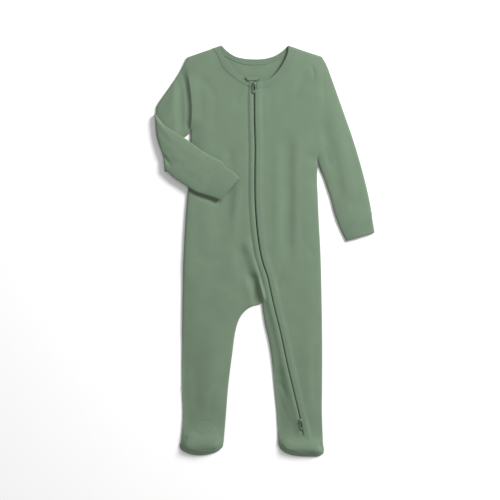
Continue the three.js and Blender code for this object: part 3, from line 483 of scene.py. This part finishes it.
def steps(width, middle, near, far):
    """Shares across a row: at set distances from its two edges, and even between them"""
    low, high = near[-1], width - far[-1]
    between = [low + (high - low) * k / (middle + 1) for k in range(1, middle + 1)]
    return [place / width for place in (*near, *between, *(width - step for step in reversed(far)))]


def grid(start, end, rows, middle, at_start, at_end, first=None, fade=0.1):
    """Flat places between two lines, a row for each row number. The first row may follow its own curve."""
    made = []
    for row in rows:
        a, b = start(row), end(row)
        shares = steps(np.linalg.norm(b - a), middle, at_start, at_end)
        line = [a + (b - a) * u for u in shares]
        if first:
            near = max(0, 1 - (row - rows[0]) / (rows[-1] - rows[0]) / fade) ** 2
            a0, b0 = start(rows[0]), end(rows[0])
            line = [p + (first(u) - a0 - (b0 - a0) * u) * near for p, u in zip(line, shares)]
        made.append(line)
    return np.array(made)


# Lines of the body
right_side = smooth([half.side for half in RIGHT_HALF])
right_front = smooth([half.front for half in RIGHT_HALF], [CROTCH_ROW, NECK_ROW])
right_back = smooth([half.back for half in RIGHT_HALF], [CROTCH_ROW, NECK_ROW])
strip_inside = smooth([strip.inside for strip in INSIDE_STRIP], [CROTCH_ROW])
strip_zip_y = smooth([(0, strip.zip_y) for strip in INSIDE_STRIP])
left_side = smooth(LEFT_SIDE)
left_zip_y = smooth([(0, y) for y in LEFT_ZIP_Y])
left_neck = smooth(LEFT_NECK)
left_back = smooth(LEFT_BACK, [CROTCH_ROW, NECK_ROW])


def strip_zip(row):
    y = strip_zip_y(row)[1]
    return np.array([zip_x(y) - zip_gap(y) / 2, y])


def left_front(row):
    if row > NECK_ROW:
        return left_neck(row - NECK_ROW)
    y = left_zip_y(row)[1]
    return np.array([zip_x(y) + zip_gap(y) / 2, y])


foot_outline = {side: by_share(foot.outline) for side, foot in FEET.items()}
foot_arch = {side: by_share(foot.arch) for side, foot in FEET.items()}


def share_at(curve, x):
    return min(np.linspace(0, 1, 1501), key=lambda u: abs(curve(u)[0] - x))


zip_shares = [share_at(foot_arch["left"], zip_x(ZIP_END_Y) + side * LEG_ZIP_GAP / 2) for side in (-1, 1)]
BODY_OUTLINE = [
    sampled(right_side, ARMPIT_ROW, 0),
    sampled(foot_outline["right"], 0, 1),
    sampled(right_back, 0, CROTCH_ROW),
    sampled(strip_inside, CROTCH_ROW, 0),
    sampled(foot_outline["left"], 0, 1),
    sampled(left_side, 0, ARMPIT_ROW),
    np.array([left_side(LAST_ROW), [42.8, 370.6]]),
    np.array([[-77.2, 370.6], right_side(LAST_ROW)]),
]


def tube_lines(edges):
    return smooth(edges.over), smooth(edges.under), len(edges.over) - 1


def tube_outline(edges):
    over, under, last = tube_lines(edges)
    return [sampled(over, 0, last, 36), sampled(under, 0, last, 36)]


ELBOW = np.array([RIGHT_UPPER_ARM.over[-1], RIGHT_UPPER_ARM.under[-1]], float)
GARMENT_OUTLINE = [
    *BODY_OUTLINE, *tube_outline(RIGHT_UPPER_ARM), ELBOW,
    *tube_outline(LEFT_SLEEVE), *tube_outline(LEFT_CUFF),
]
FOREARM_OUTLINE = [*tube_outline(RIGHT_FOREARM), *tube_outline(RIGHT_CUFF), ELBOW]
body = laid(BODY_OUTLINE, front_top, toe=True)


# Mesh

def cloth(bm, places, turned=False, cut=None):
    """A sheet over a grid of places. Its UV map holds the cut's own coordinates in metres: the given ones, or
    the distances walked along its rows and columns."""
    rows, columns = places.shape[:2]
    if cut is None:
        across = np.linalg.norm(np.diff(places, axis=1), axis=2).mean(axis=0)
        down = np.linalg.norm(np.diff(places, axis=0), axis=2).mean(axis=1)
        u, v = np.concatenate([[0], np.cumsum(across)]), np.concatenate([[0], np.cumsum(down)])
        cut = np.dstack(np.meshgrid(u, v))
    made = bmesh.ops.create_grid(bm, x_segments=columns - 1, y_segments=rows - 1, size=0.5)["verts"]
    uv = bm.loops.layers.uv.verify()
    for vert in made:
        row, column = round((vert.co.y + 0.5) * (rows - 1)), round((vert.co.x + 0.5) * (columns - 1))
        vert.co = (places[row, column] - MIDDLE) * MM
        for loop in vert.link_loops:
            loop[uv].uv = cut[row, column] * MM
    if turned:
        bmesh.ops.reverse_faces(bm, faces=list({face for vert in made for face in vert.link_faces}))


def piece(name, bm, material, replaced=(), rides="garment", wall=None):
    bmesh.ops.remove_doubles(bm, verts=bm.verts, dist=0.02 * MM)
    mesh = bpy.data.meshes.new(name)
    bm.to_mesh(mesh)
    bm.free()
    mesh.shade_smooth()
    mesh.materials.append(material)
    made = bpy.data.objects.new(name, mesh)
    bpy.context.scene.collection.objects.link(made)
    if wall:
        thick = made.modifiers.new("wall", "SOLIDIFY")
        thick.thickness = wall * MM
        thick.offset = -1
    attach(made, rides)
    if replaced:
        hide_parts(*replaced)
    return made


# Materials

def shader(name, colour, roughness, sheen=0.0, metallic=0.0):
    made = bpy.data.materials.new(name)
    made.use_nodes = True
    nodes = made.node_tree.nodes
    surface = nodes["Principled BSDF"]
    surface.inputs["Base Color"].default_value = (*colour, 1)
    surface.inputs["Roughness"].default_value = roughness
    surface.inputs["Metallic"].default_value = metallic
    surface.inputs["Sheen Weight"].default_value = sheen
    surface.inputs["Sheen Roughness"].default_value = 0.6
    return made, made.node_tree, surface


def node(tree, kind, inputs=(), **settings):
    """A shader node, its settings, and its inputs as (socket, value or the output of another node)"""
    made = tree.nodes.new(f"ShaderNode{kind}")
    for key, value in settings.items():
        setattr(made, key, value)
    for socket, value in inputs:
        if isinstance(value, bpy.types.NodeSocket):
            tree.links.new(value, made.inputs[socket])
        else:
            made.inputs[socket].default_value = value
    return made.outputs[0]


def maths(tree, operation, a, b=0.0):
    return node(tree, "Math", [(0, a), (1, b)], operation=operation)


def mottled(tree, surface, colour, spread, scales):
    """Base colour that drifts a little over the cloth, broadly and from yarn to yarn"""
    place = tree.nodes.new("ShaderNodeTexCoord").outputs["Object"]
    shade = None
    for scale, share in zip(scales, (0.6, 0.4)):
        noise = node(tree, "TexNoise", [("Vector", place), ("Scale", scale), ("Detail", 3.0)])
        part = maths(tree, "MULTIPLY", noise, share)
        shade = part if shade is None else maths(tree, "ADD", shade, part)
    ramp = tree.nodes.new("ShaderNodeValToRGB")
    tree.links.new(shade, ramp.inputs[0])
    low, high = ramp.color_ramp.elements
    low.position, high.position = 0.32, 0.68
    low.color = (*(c * (1 - spread) for c in colour), 1)
    high.color = (*(c * (1 + spread) for c in colour), 1)
    tree.links.new(ramp.outputs[0], surface.inputs["Base Color"])


def knit_height(tree, wale, course, lean):
    """V stitches in columns a wale apart, read from the cut's coordinates"""
    uv = tree.nodes.new("ShaderNodeUVMap").outputs[0]
    split = tree.nodes.new("ShaderNodeSeparateXYZ")
    tree.links.new(uv, split.inputs[0])
    across = maths(tree, "MULTIPLY", split.outputs[0], 1 / (wale * MM))
    down = maths(tree, "MULTIPLY", split.outputs[1], 1 / (course * MM))
    ridge = maths(tree, "PINGPONG", across, 0.5)
    slant = maths(tree, "ADD", down, maths(tree, "MULTIPLY", ridge, lean))
    loops = maths(tree, "SINE", maths(tree, "MULTIPLY", slant, 2 * math.pi))
    columns = maths(tree, "SINE", maths(tree, "MULTIPLY", ridge, 2 * math.pi))
    return maths(tree, "ADD", maths(tree, "MULTIPLY", loops, 0.3), columns)


def bump(tree, surface, height, strength, depth):
    made = node(tree, "Bump", [("Strength", strength), ("Distance", depth * MM), ("Height", height)])
    tree.links.new(made, surface.inputs["Normal"])


def jersey():
    colour = (0.127, 0.187, 0.122)
    made, tree, surface = shader("sage_jersey", colour, 0.92, sheen=0.12)
    mottled(tree, surface, colour, spread=0.05, scales=(38, 900))
    knit = knit_height(tree, wale=0.75, course=0.6, lean=0.9)
    bump(tree, surface, knit, strength=0.35, depth=0.12)
    return made


def ribbing():
    colour = (0.123, 0.182, 0.119)
    made, tree, surface = shader("sage_rib", colour, 0.92, sheen=0.12)
    mottled(tree, surface, colour, spread=0.05, scales=(50, 900))
    knit = knit_height(tree, wale=1.5, course=0.6, lean=0.5)
    bump(tree, surface, knit, strength=0.5, depth=0.2)
    return made


def thread():
    colour = (0.130, 0.196, 0.128)
    made, tree, surface = shader("sage_thread", colour, 0.7, sheen=0.1)
    mottled(tree, surface, colour, spread=0.08, scales=(60, 1500))
    return made


def tape_weave():
    colour = (0.062, 0.094, 0.063)
    made, tree, surface = shader("zip_tape_weave", colour, 0.85)
    mottled(tree, surface, colour, spread=0.06, scales=(60, 1200))
    weave = knit_height(tree, wale=0.9, course=0.9, lean=1.0)
    bump(tree, surface, weave, strength=0.4, depth=0.1)
    return made


def nylon_coil_and_slot_shade():
    # Darker than the coil's own dark green nylon: this colour also paints the shade deep in the zip's slot,
    # between the cloth edges
    colour = (0.04, 0.06, 0.042)
    made, tree, surface = shader("zip_nylon_coil_and_slot_shade", colour, 0.45)
    mottled(tree, surface, colour, spread=0.08, scales=(90, 2000))
    return made


def enamel():
    colour = (0.095, 0.142, 0.094)
    made, tree, surface = shader("zip_enamel", colour, 0.5, metallic=0.1)
    mottled(tree, surface, colour, spread=0.06, scales=(120, 1400))
    place = tree.nodes.new("ShaderNodeTexCoord").outputs["Object"]
    grain = node(tree, "TexNoise", [("Vector", place), ("Scale", 900.0), ("Detail", 2.0)])
    bump(tree, surface, grain, strength=0.15, depth=0.05)
    return made


JERSEY, RIB, THREAD = jersey(), ribbing(), thread()
TAPE, COIL, ENAMEL = tape_weave(), nylon_coil_and_slot_shade(), enamel()


# Body

def body_rows(last=LAST_ROW):
    """Even rows, with one more close to each end"""
    even = np.linspace(0, last, last * ROWS_EACH + 1)
    return np.unique(np.concatenate([even, (END_ROW, last - END_ROW)]))


def straight_grain(places):
    return places[..., :2]


def right_front_panel():
    bm = bmesh.new()
    outer = grid(
        right_side, right_front, body_rows(), 34, EDGE_STEPS, EDGE_STEPS,
        first=foot_arch["right"], fade=0.117,
    )
    inner = grid(
        strip_inside, strip_zip, body_rows(NECK_ROW), 8, EDGE_STEPS, ZIP_STEPS,
        first=lambda u: foot_arch["left"](u * zip_shares[0]), fade=0.075,
    )
    for places in (outer, inner):
        cloth(bm, body(places), cut=straight_grain(places))
    made = piece("right_front_jersey", bm, JERSEY, ["front_right"], wall=JERSEY_WALL)
    sewn_on = [front_topstitch("right"), zip_tape("right", -1)]


def left_front_panel():
    bm = bmesh.new()
    places = grid(
        left_front, left_side, body_rows(), 30, ZIP_STEPS, EDGE_STEPS,
        first=lambda u: foot_arch["left"](zip_shares[1] + u * (1 - zip_shares[1])), fade=0.06,
    )
    cloth(bm, body(places), cut=straight_grain(places))
    made = piece("left_front_jersey", bm, JERSEY, ["front_left"], wall=JERSEY_WALL)
    sewn_on = [front_topstitch("left"), zip_tape("left", 1)]


def back_panel():
    bm = bmesh.new()
    for places in (
        grid(right_side, right_back, body_rows(), 16, EDGE_STEPS, EDGE_STEPS),
        grid(left_back, left_side, body_rows(), 14, EDGE_STEPS, EDGE_STEPS),
    ):
        cloth(bm, body(places, under=True), turned=True, cut=straight_grain(places))
    made = piece("back_jersey", bm, JERSEY, ["back"], wall=JERSEY_WALL)


# Feet: the sole lies under the foot and turns up round the toe, and the upper fills the space inside its rim

def foot(side, sole_area, upper_area):
    outline, arch = foot_outline[side], foot_arch[side]
    middle = np.array(FEET[side].middle)
    shares = np.linspace(0, 1, 81)

    def rim(u, distance):
        inward = middle - outline(u)
        return outline(u) + inward / np.linalg.norm(inward) * distance

    start, end = outline(0), outline(1)
    under, over, upper = [], [], []
    for u in shares:
        heel = start + (end - start) * (0.012 + 0.976 * u) - (0, 0.5)
        edge = outline(u)
        reach = np.linalg.norm(edge - heel)
        near = [1 - min(d, reach * 0.5) / reach for d in reversed(EDGE_STEPS)]
        under.append([heel + (edge - heel) * v for v in (0, 0.2, 0.4, *near)])
        width = 0.9 + RIM * math.sin(math.pi * u) ** 0.6
        turn = [min(d, width * 0.5) for d in EDGE_STEPS]
        inwards = [turn[-1] + (width - turn[-1]) * v for v in (0.3, 0.6, 0.85, 1)]
        over.append([rim(u, d) for d in (*turn, *inwards)])
        inner, top = rim(u, width - 0.5), arch(u)
        top = top + (top - inner) / max(np.linalg.norm(top - inner), 1e-6) * 0.9
        upwards = (0, 0.03, 0.07, 0.13, *np.linspace(0.2, 0.97, 14), 1)
        upper.append([inner + (top - inner) * v for v in upwards])
    rim_rows = body(np.array(over))[:, 1:]
    rim_rows[:, -1, 2] -= 0.25
    sole = np.concatenate([body(np.array(under), under=True), rim_rows], axis=1)
    instep = body(np.array(upper))
    puff = np.sin(np.pi * shares)[:, None]
    swell = 0.55 * np.sin(np.pi * np.linspace(0.2, 0.97, 14))
    instep[..., 2] += puff * np.array([-1.3, -1.0, -0.55, -0.1, *swell, 0])
    instep[:, -3:, 2] += puff * (0.05, 0.05, -0.05)

    bm = bmesh.new()
    cloth(bm, sole, turned=True)
    made = piece(f"{side}_sole_jersey", bm, JERSEY, [f"sole_{side}"], wall=JERSEY_WALL)
    bm = bmesh.new()
    cloth(bm, instep, turned=True)
    made = piece(f"{side}_foot_jersey", bm, JERSEY, [f"foot_upper_{side}"], wall=JERSEY_WALL)


# Sleeves and cuffs are flat tubes: each row runs over the top from one edge to the other and back under

def tube_grid(edges, rows, middle, first=None):
    over, under, _ = tube_lines(edges)
    return grid(over, under, rows, middle, EDGE_STEPS, EDGE_STEPS, first=first, fade=0.45)


def ring(over, under):
    """Joins the top and the underside of a flat tube to closed rows"""
    return np.concatenate([over, under[:, ::-1][:, 1:]], axis=1)


def tube(places, lay):
    return ring(lay(places), lay(places, under=True))


def tube_rows(last, each):
    """Even rows, with more of them close to both ends"""
    close = np.array([0.004, 0.03, 0.06])
    return np.unique(np.concatenate([np.linspace(0, last, last * each + 1), close, last - close]))


def armhole(side, outward):
    line = sampled(side, LAST_ROW, ARMPIT_ROW)
    return by_share(line - (outward * ARMHOLE_LAP, 0))


def drawn_in(rings, end, depth, reach):
    """Draws one end of a tube in towards its own middle height, as its seam does"""
    middle = rings.mean(axis=1)
    walked = np.linalg.norm((middle - middle[end])[:, :2], axis=1)[:, None]
    height = rings[..., 2]
    centre = (height.max(axis=1) + height.min(axis=1))[:, None] / 2
    half = np.maximum((height.max(axis=1) - height.min(axis=1))[:, None] / 2, 0.5)
    rings[..., 2] = height + (centre - height) / half * depth * (1 - smoothstep(walked, 0, reach))
    return rings


def tucked(rings, depth=1.6, inset=0.4):
    """Goes on past a tube's first row, smaller, inside the neighbour that it is sewn to"""
    centre = rings[0].mean(axis=0)
    back = rings[0].mean(axis=0) - rings[2].mean(axis=0)
    back[2] = 0
    share = 1 - inset / (np.linalg.norm(np.ptp(rings[0][:, :2], axis=0)) / 2)
    height = 1 - inset / (np.ptp(rings[0][:, 2]) / 2)
    inner = centre + (rings[0] - centre) * (share, share, height) + back / np.linalg.norm(back) * depth
    return np.concatenate([inner[None], rings])


def up_to(rings, cuff_ring, share=0.96):
    """Carries a sleeve's tube on to the first row of its cuff"""
    last = rings[-1] + (cuff_ring - rings[-1]) * share
    return np.concatenate([rings, last[None], cuff_ring[None]])


def turned_over(rings):
    return rings * (1, 1, -1) + (0, 0, 2 * FOLD_AXIS)


def laid_tube(edges, top, bottom=flat):
    """Lays a sleeve or cuff, with the seam at half its height and no space between its layers there"""
    return laid(tube_outline(edges), top, SLEEVE_HEIGHT / 2, 0, bottom)


def left_sleeve():
    top = with_folds(SLEEVE_FOLDS, SLEEVE_CREASES)
    lay = laid_tube(LEFT_SLEEVE, meeting_body(top, sampled(left_side, LAST_ROW, ARMPIT_ROW), reach=22))
    rings = tube(tube_grid(LEFT_SLEEVE, tube_rows(8, 11), 26, armhole(left_side, 1)), lay)
    rings = up_to(rings, cuff_rings(LEFT_CUFF, False)[0])
    bm = bmesh.new()
    cloth(bm, rings)
    made = piece("left_sleeve_jersey", bm, JERSEY, ["sleeve_left"], wall=JERSEY_WALL)
    sewn_on = [wrist_topstitch("left", LEFT_SLEEVE, on_left_sleeve)]


def forearm_bottom(x, y):
    """The forearm is turned over, so what lies underneath here is its upper side"""
    rise = crown(FOREARM_OUTLINE, x, y)
    return -FOREARM_CROWN * rise - folded(FOREARM_CREASES, x, y) - rumple(x, y) * rise * 0.6


def meeting_body(own, line, reach):
    """Height of a sleeve that takes on the body's height at its armhole"""
    def top(x, y):
        share = 1 - smoothstep(nearest(line, x, y)[0], 0, reach)
        return own(x, y) + (front_top(x, y) - own(x, y)) * share

    return top


def sleeve_flat(x, y):
    return np.full(np.shape(x), SLEEVE_HEIGHT)


def elbow(crease, outward, drop, bulge):
    """Bends the last ring of the upper arm over, step by step, on to the forearm that lies above it"""
    arm = FOLD_AXIS - crease[:, 2:3]
    bends = []
    for k in range(1, FOLD_STEPS + 1):
        turn = math.pi * k / FOLD_STEPS
        bent = crease + outward * math.sin(turn) * arm * bulge
        bent[:, 2] = (FOLD_AXIS - math.cos(turn) * arm)[:, 0] - drop * k / FOLD_STEPS
        bends.append(bent)
    return np.array(bends)


def right_sleeve():
    top = with_folds(UPPER_ARM_FOLDS, UPPER_ARM_CREASES)
    lay = laid_tube(RIGHT_UPPER_ARM, meeting_body(top, sampled(right_side, LAST_ROW, ARMPIT_ROW), reach=3))
    upper_places = tube_grid(RIGHT_UPPER_ARM, tube_rows(5, 9), 26, armhole(right_side, -1))
    upper_rings = tube(upper_places, lay)
    crease = upper_rings[-1]
    outward = upper_places[-1][-1] - upper_places[-1][0]
    outward = np.array([outward[1], -outward[0], 0]) / np.linalg.norm(outward)
    flattest = [np.linalg.norm(crease - crease[k], axis=1) for k in FLATTEST_AT_ELBOW]
    aside = np.minimum(*flattest)
    bulge = (0.35 + 0.65 * smoothstep(aside, 0, 40))[:, None]
    drop = ELBOW_DROP * (1 - smoothstep(aside, 0, 12))
    places = tube_grid(RIGHT_FOREARM, tube_rows(6, 10)[1:], 26)
    fore_rings = turned_over(tube(places, laid_tube(RIGHT_FOREARM, sleeve_flat, forearm_bottom)))
    fore_rings = up_to(fore_rings, cuff_rings(RIGHT_CUFF, True)[0])
    walked = np.linalg.norm(fore_rings.mean(axis=1) - crease.mean(axis=0), axis=1)[:, None]
    fore_rings[..., 2] -= drop * (1 - smoothstep(walked, 8, 30))
    bm = bmesh.new()
    cloth(bm, np.concatenate([upper_rings, elbow(crease, outward, drop, bulge), fore_rings]), turned=True)
    made = piece("right_sleeve_jersey", bm, JERSEY, ["sleeve_right"], wall=JERSEY_WALL)
    sewn_on = [wrist_topstitch("right", RIGHT_FOREARM, on_forearm)]


def cuff_rings(edges, over_turned):
    places = tube_grid(edges, np.linspace(0, len(edges.over) - 1, 25), 26)
    if over_turned:
        return turned_over(tube(places, laid_tube(edges, sleeve_flat, forearm_bottom)))
    return tube(places, laid_tube(edges, with_folds([], [])))


def cuff(side, edges, over_turned):
    rings = drawn_in(tucked(cuff_rings(edges, over_turned)), end=-1, depth=0.5, reach=2.4)
    bm = bmesh.new()
    cloth(bm, rings, turned=over_turned)
    made = piece(f"{side}_cuff_rib", bm, RIB, [f"cuff_{side}"], wall=RIB_WALL)


def neckband():
    folds = [k for k, row in enumerate(NECKBAND) if row.layer == "fold"]
    middle = (folds[0] + folds[1]) / 2
    seam = smooth([row.seam for row in NECKBAND], [folds[0], int(middle), folds[1]])
    free = smooth([row.free for row in NECKBAND], folds)
    last = len(NECKBAND) - 1
    rows = np.linspace(0, last, last * 10 + 1)
    shares = np.array([0, 0.06, 0.14, 0.3, 0.5, 0.7, 0.84, 0.93, 1])
    places = []
    for row in rows:
        a, b = seam(row), free(row)
        width = np.linalg.norm(b - a)
        places.append([a + (b - a) * u for u in (-2.0 / width, -1.0 / width, *shares)])
    places = np.array(places)
    over, under = body(places), body(places, under=True)
    sunk = np.where(rows > folds[1], 0.35, 0.8)[:, None]
    seam_dip = np.array([-0.95, -0.7, -0.25, 0, 0, 0, 0, 0, 0, 0, 0])
    padding = np.array([0, 0, 0, 0.05, 0.15, 0.2, 0.2, 0.15, 0.1, 0.05, 0])
    over[..., 2] += sunk * seam_dip
    over[..., 2] += padding
    under[..., 2] += np.array([0.3, 0.15, 0, 0, 0, 0, 0, 0, 0, 0, 0])
    behind = (rows > folds[0]) & (rows < folds[1])
    bm = bmesh.new()
    cloth(bm, np.where(behind[:, None, None], under, over))
    made = piece("neckband_rib", bm, RIB, ["neckband"], wall=RIB_WALL)


# Zip

def zip_direction(y):
    low, high = np.array([zip_x(y - 4), y - 4]), np.array([zip_x(y + 4), y + 4])
    return (high - low) / np.linalg.norm(high - low)


def zip_tape(side, sign):
    ys = np.linspace(*TAPE_ENDS, 200)
    offsets = np.linspace(*TAPE_SIDES, 7) * sign
    places = np.array([[(zip_x(y) + d, y, TAPE_TOP) for d in offsets] for y in ys])
    bm = bmesh.new()
    cloth(bm, places, turned=sign < 0)
    return piece(f"{side}_zip_tape_weave", bm, TAPE, [f"zip_tape_{side}"], wall=TAPE_WALL)


def rod(bm, spot, ahead, radius, length, sides):
    """A thin round rod about a place, pointing along a direction"""
    made = bmesh.ops.create_cone(
        bm, cap_ends=True, segments=sides, radius1=radius * MM, radius2=radius * MM, depth=length * MM,
    )
    turn = Vector(ahead).to_track_quat("Z", "X").to_matrix().to_4x4()
    spot = Vector((np.array(spot) - MIDDLE) * MM)
    bmesh.ops.transform(bm, matrix=Matrix.Translation(spot) @ turn, verts=made["verts"])


def zip_coil():
    """Nylon coil: short rods across the chain, from one side and the other in turn"""
    bm = bmesh.new()
    for k, y in enumerate(np.arange(*COIL_ENDS, COIL_SPACING)):
        ahead = zip_direction(y)
        across = np.array([ahead[1], -ahead[0]])
        spot = np.array([zip_x(y), y]) + across * (COIL_ASIDE if k % 2 else -COIL_ASIDE)
        rod(bm, (*spot, CHAIN_MIDDLE), (*across, 0), COIL_RADIUS, COIL_LENGTH, 6)
    return piece("zip_coil_teeth", bm, COIL, ["zip_chain"])


def from_solid(name, solid, rides):
    """A slider or pull tab with its edges rounded off, on a copy of its solid"""
    source = bpy.data.objects[solid]
    bm = bmesh.new()
    bm.from_mesh(source.data)
    bm.transform(source.matrix_world)
    bmesh.ops.remove_doubles(bm, verts=bm.verts, dist=0.01 * MM)
    bmesh.ops.dissolve_limit(bm, angle_limit=math.radians(3), verts=bm.verts, edges=bm.edges)
    shared = [edge for edge in bm.edges if len(edge.link_faces) == 2]
    sharp = [edge for edge in shared if edge.calc_face_angle() > math.radians(40)]
    bmesh.ops.bevel(
        bm, geom=sharp, offset=METAL_ROUND * MM, segments=2, affect="EDGES", profile=0.5, material=-1,
        clamp_overlap=True,
    )
    return piece(name, bm, ENAMEL, [solid], rides)


def zip_cover_tab():
    """Small cloth tab over the top of the zip, wider at its upper edge"""
    low, high = np.array([8.0, 306.4]), np.array([12.4, 313.0])  # half its width, and y, at its two edges
    ends = np.array([0.88, 0.95, 0.985, 1])
    across = np.concatenate([-ends[::-1], np.linspace(-0.75, 0.75, 13), ends])
    up = np.array([0, 0.03, 0.09, 0.2, 0.35, 0.5, 0.65, 0.8, 0.91, 0.97, 1])
    places = np.zeros((len(up), len(across), 3))
    for row, v in enumerate(up):
        half, y = low + (high - low) * v
        places[row, :, 0] = TAB_X + across * half
        places[row, :, 1] = y
        edge = np.minimum((1 - np.abs(across)) * half, min(v, 1 - v) * 6.6)
        rise = np.sqrt(1 - (1 - np.minimum(edge / 1.1, 1)) ** 2)
        places[row, :, 2] = 9.2 + 0.9 * rise + 0.12 * np.sin(across * 9)
    bm = bmesh.new()
    cloth(bm, places)
    made = piece("zip_cover_tab_jersey", bm, JERSEY, ["chin_tab"], wall=TAB_WALL)
    tab_topstitch()


# Sewing

def beside(line, offset):
    """A line moved aside by an offset, to the left of its own direction"""
    ahead = np.gradient(line, axis=0)
    ahead /= np.linalg.norm(ahead, axis=1)[:, None]
    return line + np.stack([-ahead[:, 1], ahead[:, 0]], axis=1) * offset


def stitches(name, lines, height, spacing=3.0, length=2.0):
    """Rows of stitches: short lengths of thread, half sunk in the cloth"""
    bm = bmesh.new()
    for line in lines:
        walked = np.concatenate([[0], np.cumsum(np.linalg.norm(np.diff(line, axis=0), axis=1))])
        starts = np.arange(0.5, walked[-1] - length, spacing)

        def spots(at):
            x, y = np.interp(at, walked, line[:, 0]), np.interp(at, walked, line[:, 1])
            return np.stack([x, y, height(x, y)], axis=1)

        for a, b in zip(spots(starts), spots(starts + length)):
            rod(bm, (a + b) / 2, b - a, THREAD_RADIUS, float(np.linalg.norm(b - a)), 5)
    return piece(name, bm, THREAD)


def on_body(x, y):
    return body(np.dstack([x, y]))[0, :, 2] + 0.02


def front_topstitch(side):
    """Beside the zip, round the neck and over the foot"""
    zip_side = -STITCH_ASIDE if side == "right" else STITCH_ASIDE
    zip_line = np.array([(zip_x(y) + zip_side, y) for y in np.linspace(-322, 300, 260)])
    if side == "right":
        neck_line = beside(sampled(right_front, NECK_ROW, LAST_ROW, 60), NECK_STITCH_IN)[4:-2]
    else:
        neck_line = beside(sampled(left_neck, 0, LAST_ROW - NECK_ROW, 60), -NECK_STITCH_IN)[3:-2]
    foot_line = beside(sampled(foot_arch[side], 0.04, 0.96, 60), FOOT_STITCH_UP)
    return stitches(f"{side}_front_topstitch", [zip_line, neck_line, foot_line], on_body)


def tab_topstitch():
    corners = [(-6.9, 307.5), (6.9, 307.5), (10.8, 312), (-10.8, 312), (-6.9, 307.5)]
    line = np.array([(TAB_X + x, y) for x, y in corners])
    return stitches("tab_topstitch", [line], lambda x, y: np.full(np.shape(x), TAB_TOP), 2.4, 1.6)


def on_left_sleeve(x, y):
    lay = laid_tube(LEFT_SLEEVE, with_folds(SLEEVE_FOLDS, SLEEVE_CREASES))
    return lay(np.dstack([x, y]))[0, :, 2]


def on_forearm(x, y):
    lay = laid_tube(RIGHT_FOREARM, sleeve_flat, forearm_bottom)
    return 2 * FOLD_AXIS - lay(np.dstack([x, y]), under=True)[0, :, 2]


def wrist_topstitch(side, edges, height):
    """Across a sleeve, a little before its cuff"""
    over, under, last = tube_lines(edges)
    a, b = over(last), under(last)
    before = over(last - 1) + under(last - 1) - a - b
    before = before / np.linalg.norm(before) * WRIST_STITCH_BACK
    line = np.array([a + (b - a) * u + before for u in np.linspace(0.03, 0.97, 40)])
    return stitches(f"{side}_wrist_topstitch", [line], height)


back_panel()
right_front_panel()
left_front_panel()
foot("right", 0.00272, 0.0031)
foot("left", 0.00254, 0.0022)
left_sleeve()
right_sleeve()
cuff("left", LEFT_CUFF, False)
cuff("right", RIGHT_CUFF, True)
neckband()
zip_coil()
zip_cover_tab()
from_solid("upper_zip_slider", "slider_top", "garment")
from_solid("lower_zip_slider", "slider_bottom", "garment")
from_solid("upper_pull_tab", "pull_top", "upper_pull")
from_solid("lower_pull_tab", "pull_bottom", "lower_pull")


# Camera, light and floor

def look_down():
    lens = bpy.data.cameras.new("camera")
    lens.lens = 100
    camera = bpy.data.objects.new("camera", lens)
    camera.location = (-0.02554, 0.00186, 2.5)
    bpy.context.scene.collection.objects.link(camera)
    bpy.context.scene.camera = camera


def lamp(name, place, size, power):
    light = bpy.data.lights.new(name, "AREA")
    light.size, light.energy = size, power
    made = bpy.data.objects.new(name, light)
    made.location = place
    made.rotation_mode = "QUATERNION"
    made.rotation_quaternion = Vector(place).to_track_quat("Z", "Y")
    made.visible_camera = False
    bpy.context.scene.collection.objects.link(made)


def floor():
    bm = bmesh.new()
    bmesh.ops.create_grid(bm, x_segments=1, y_segments=1, size=5)
    bmesh.ops.translate(bm, vec=(0, 0, -0.0002), verts=bm.verts)
    mesh = bpy.data.meshes.new("floor")
    bm.to_mesh(mesh)
    bm.free()
    made = bpy.data.objects.new("floor", mesh)
    colour = (0.945, 0.945, 0.945)
    finish, tree, surface = shader("pale_floor", colour, 0.9)
    mottled(tree, surface, colour, spread=0.006, scales=(3, 40))
    mesh.materials.append(finish)
    bpy.context.scene.collection.objects.link(made)


def daylight():
    world = bpy.data.worlds.new("studio")
    world.use_nodes = True
    sky = world.node_tree.nodes["Background"]
    sky.inputs["Color"].default_value = (1, 1, 1, 1)
    sky.inputs["Strength"].default_value = 0.42
    bpy.context.scene.world = world
    bpy.context.scene.view_settings.view_transform = "Standard"
    lamp("key", (1.65, 1.4, 1.55), 1.0, 94)
    lamp("fill", (-0.2, 0.5, 2.8), 2.0, 10)


look_down()
floor()
daylight()
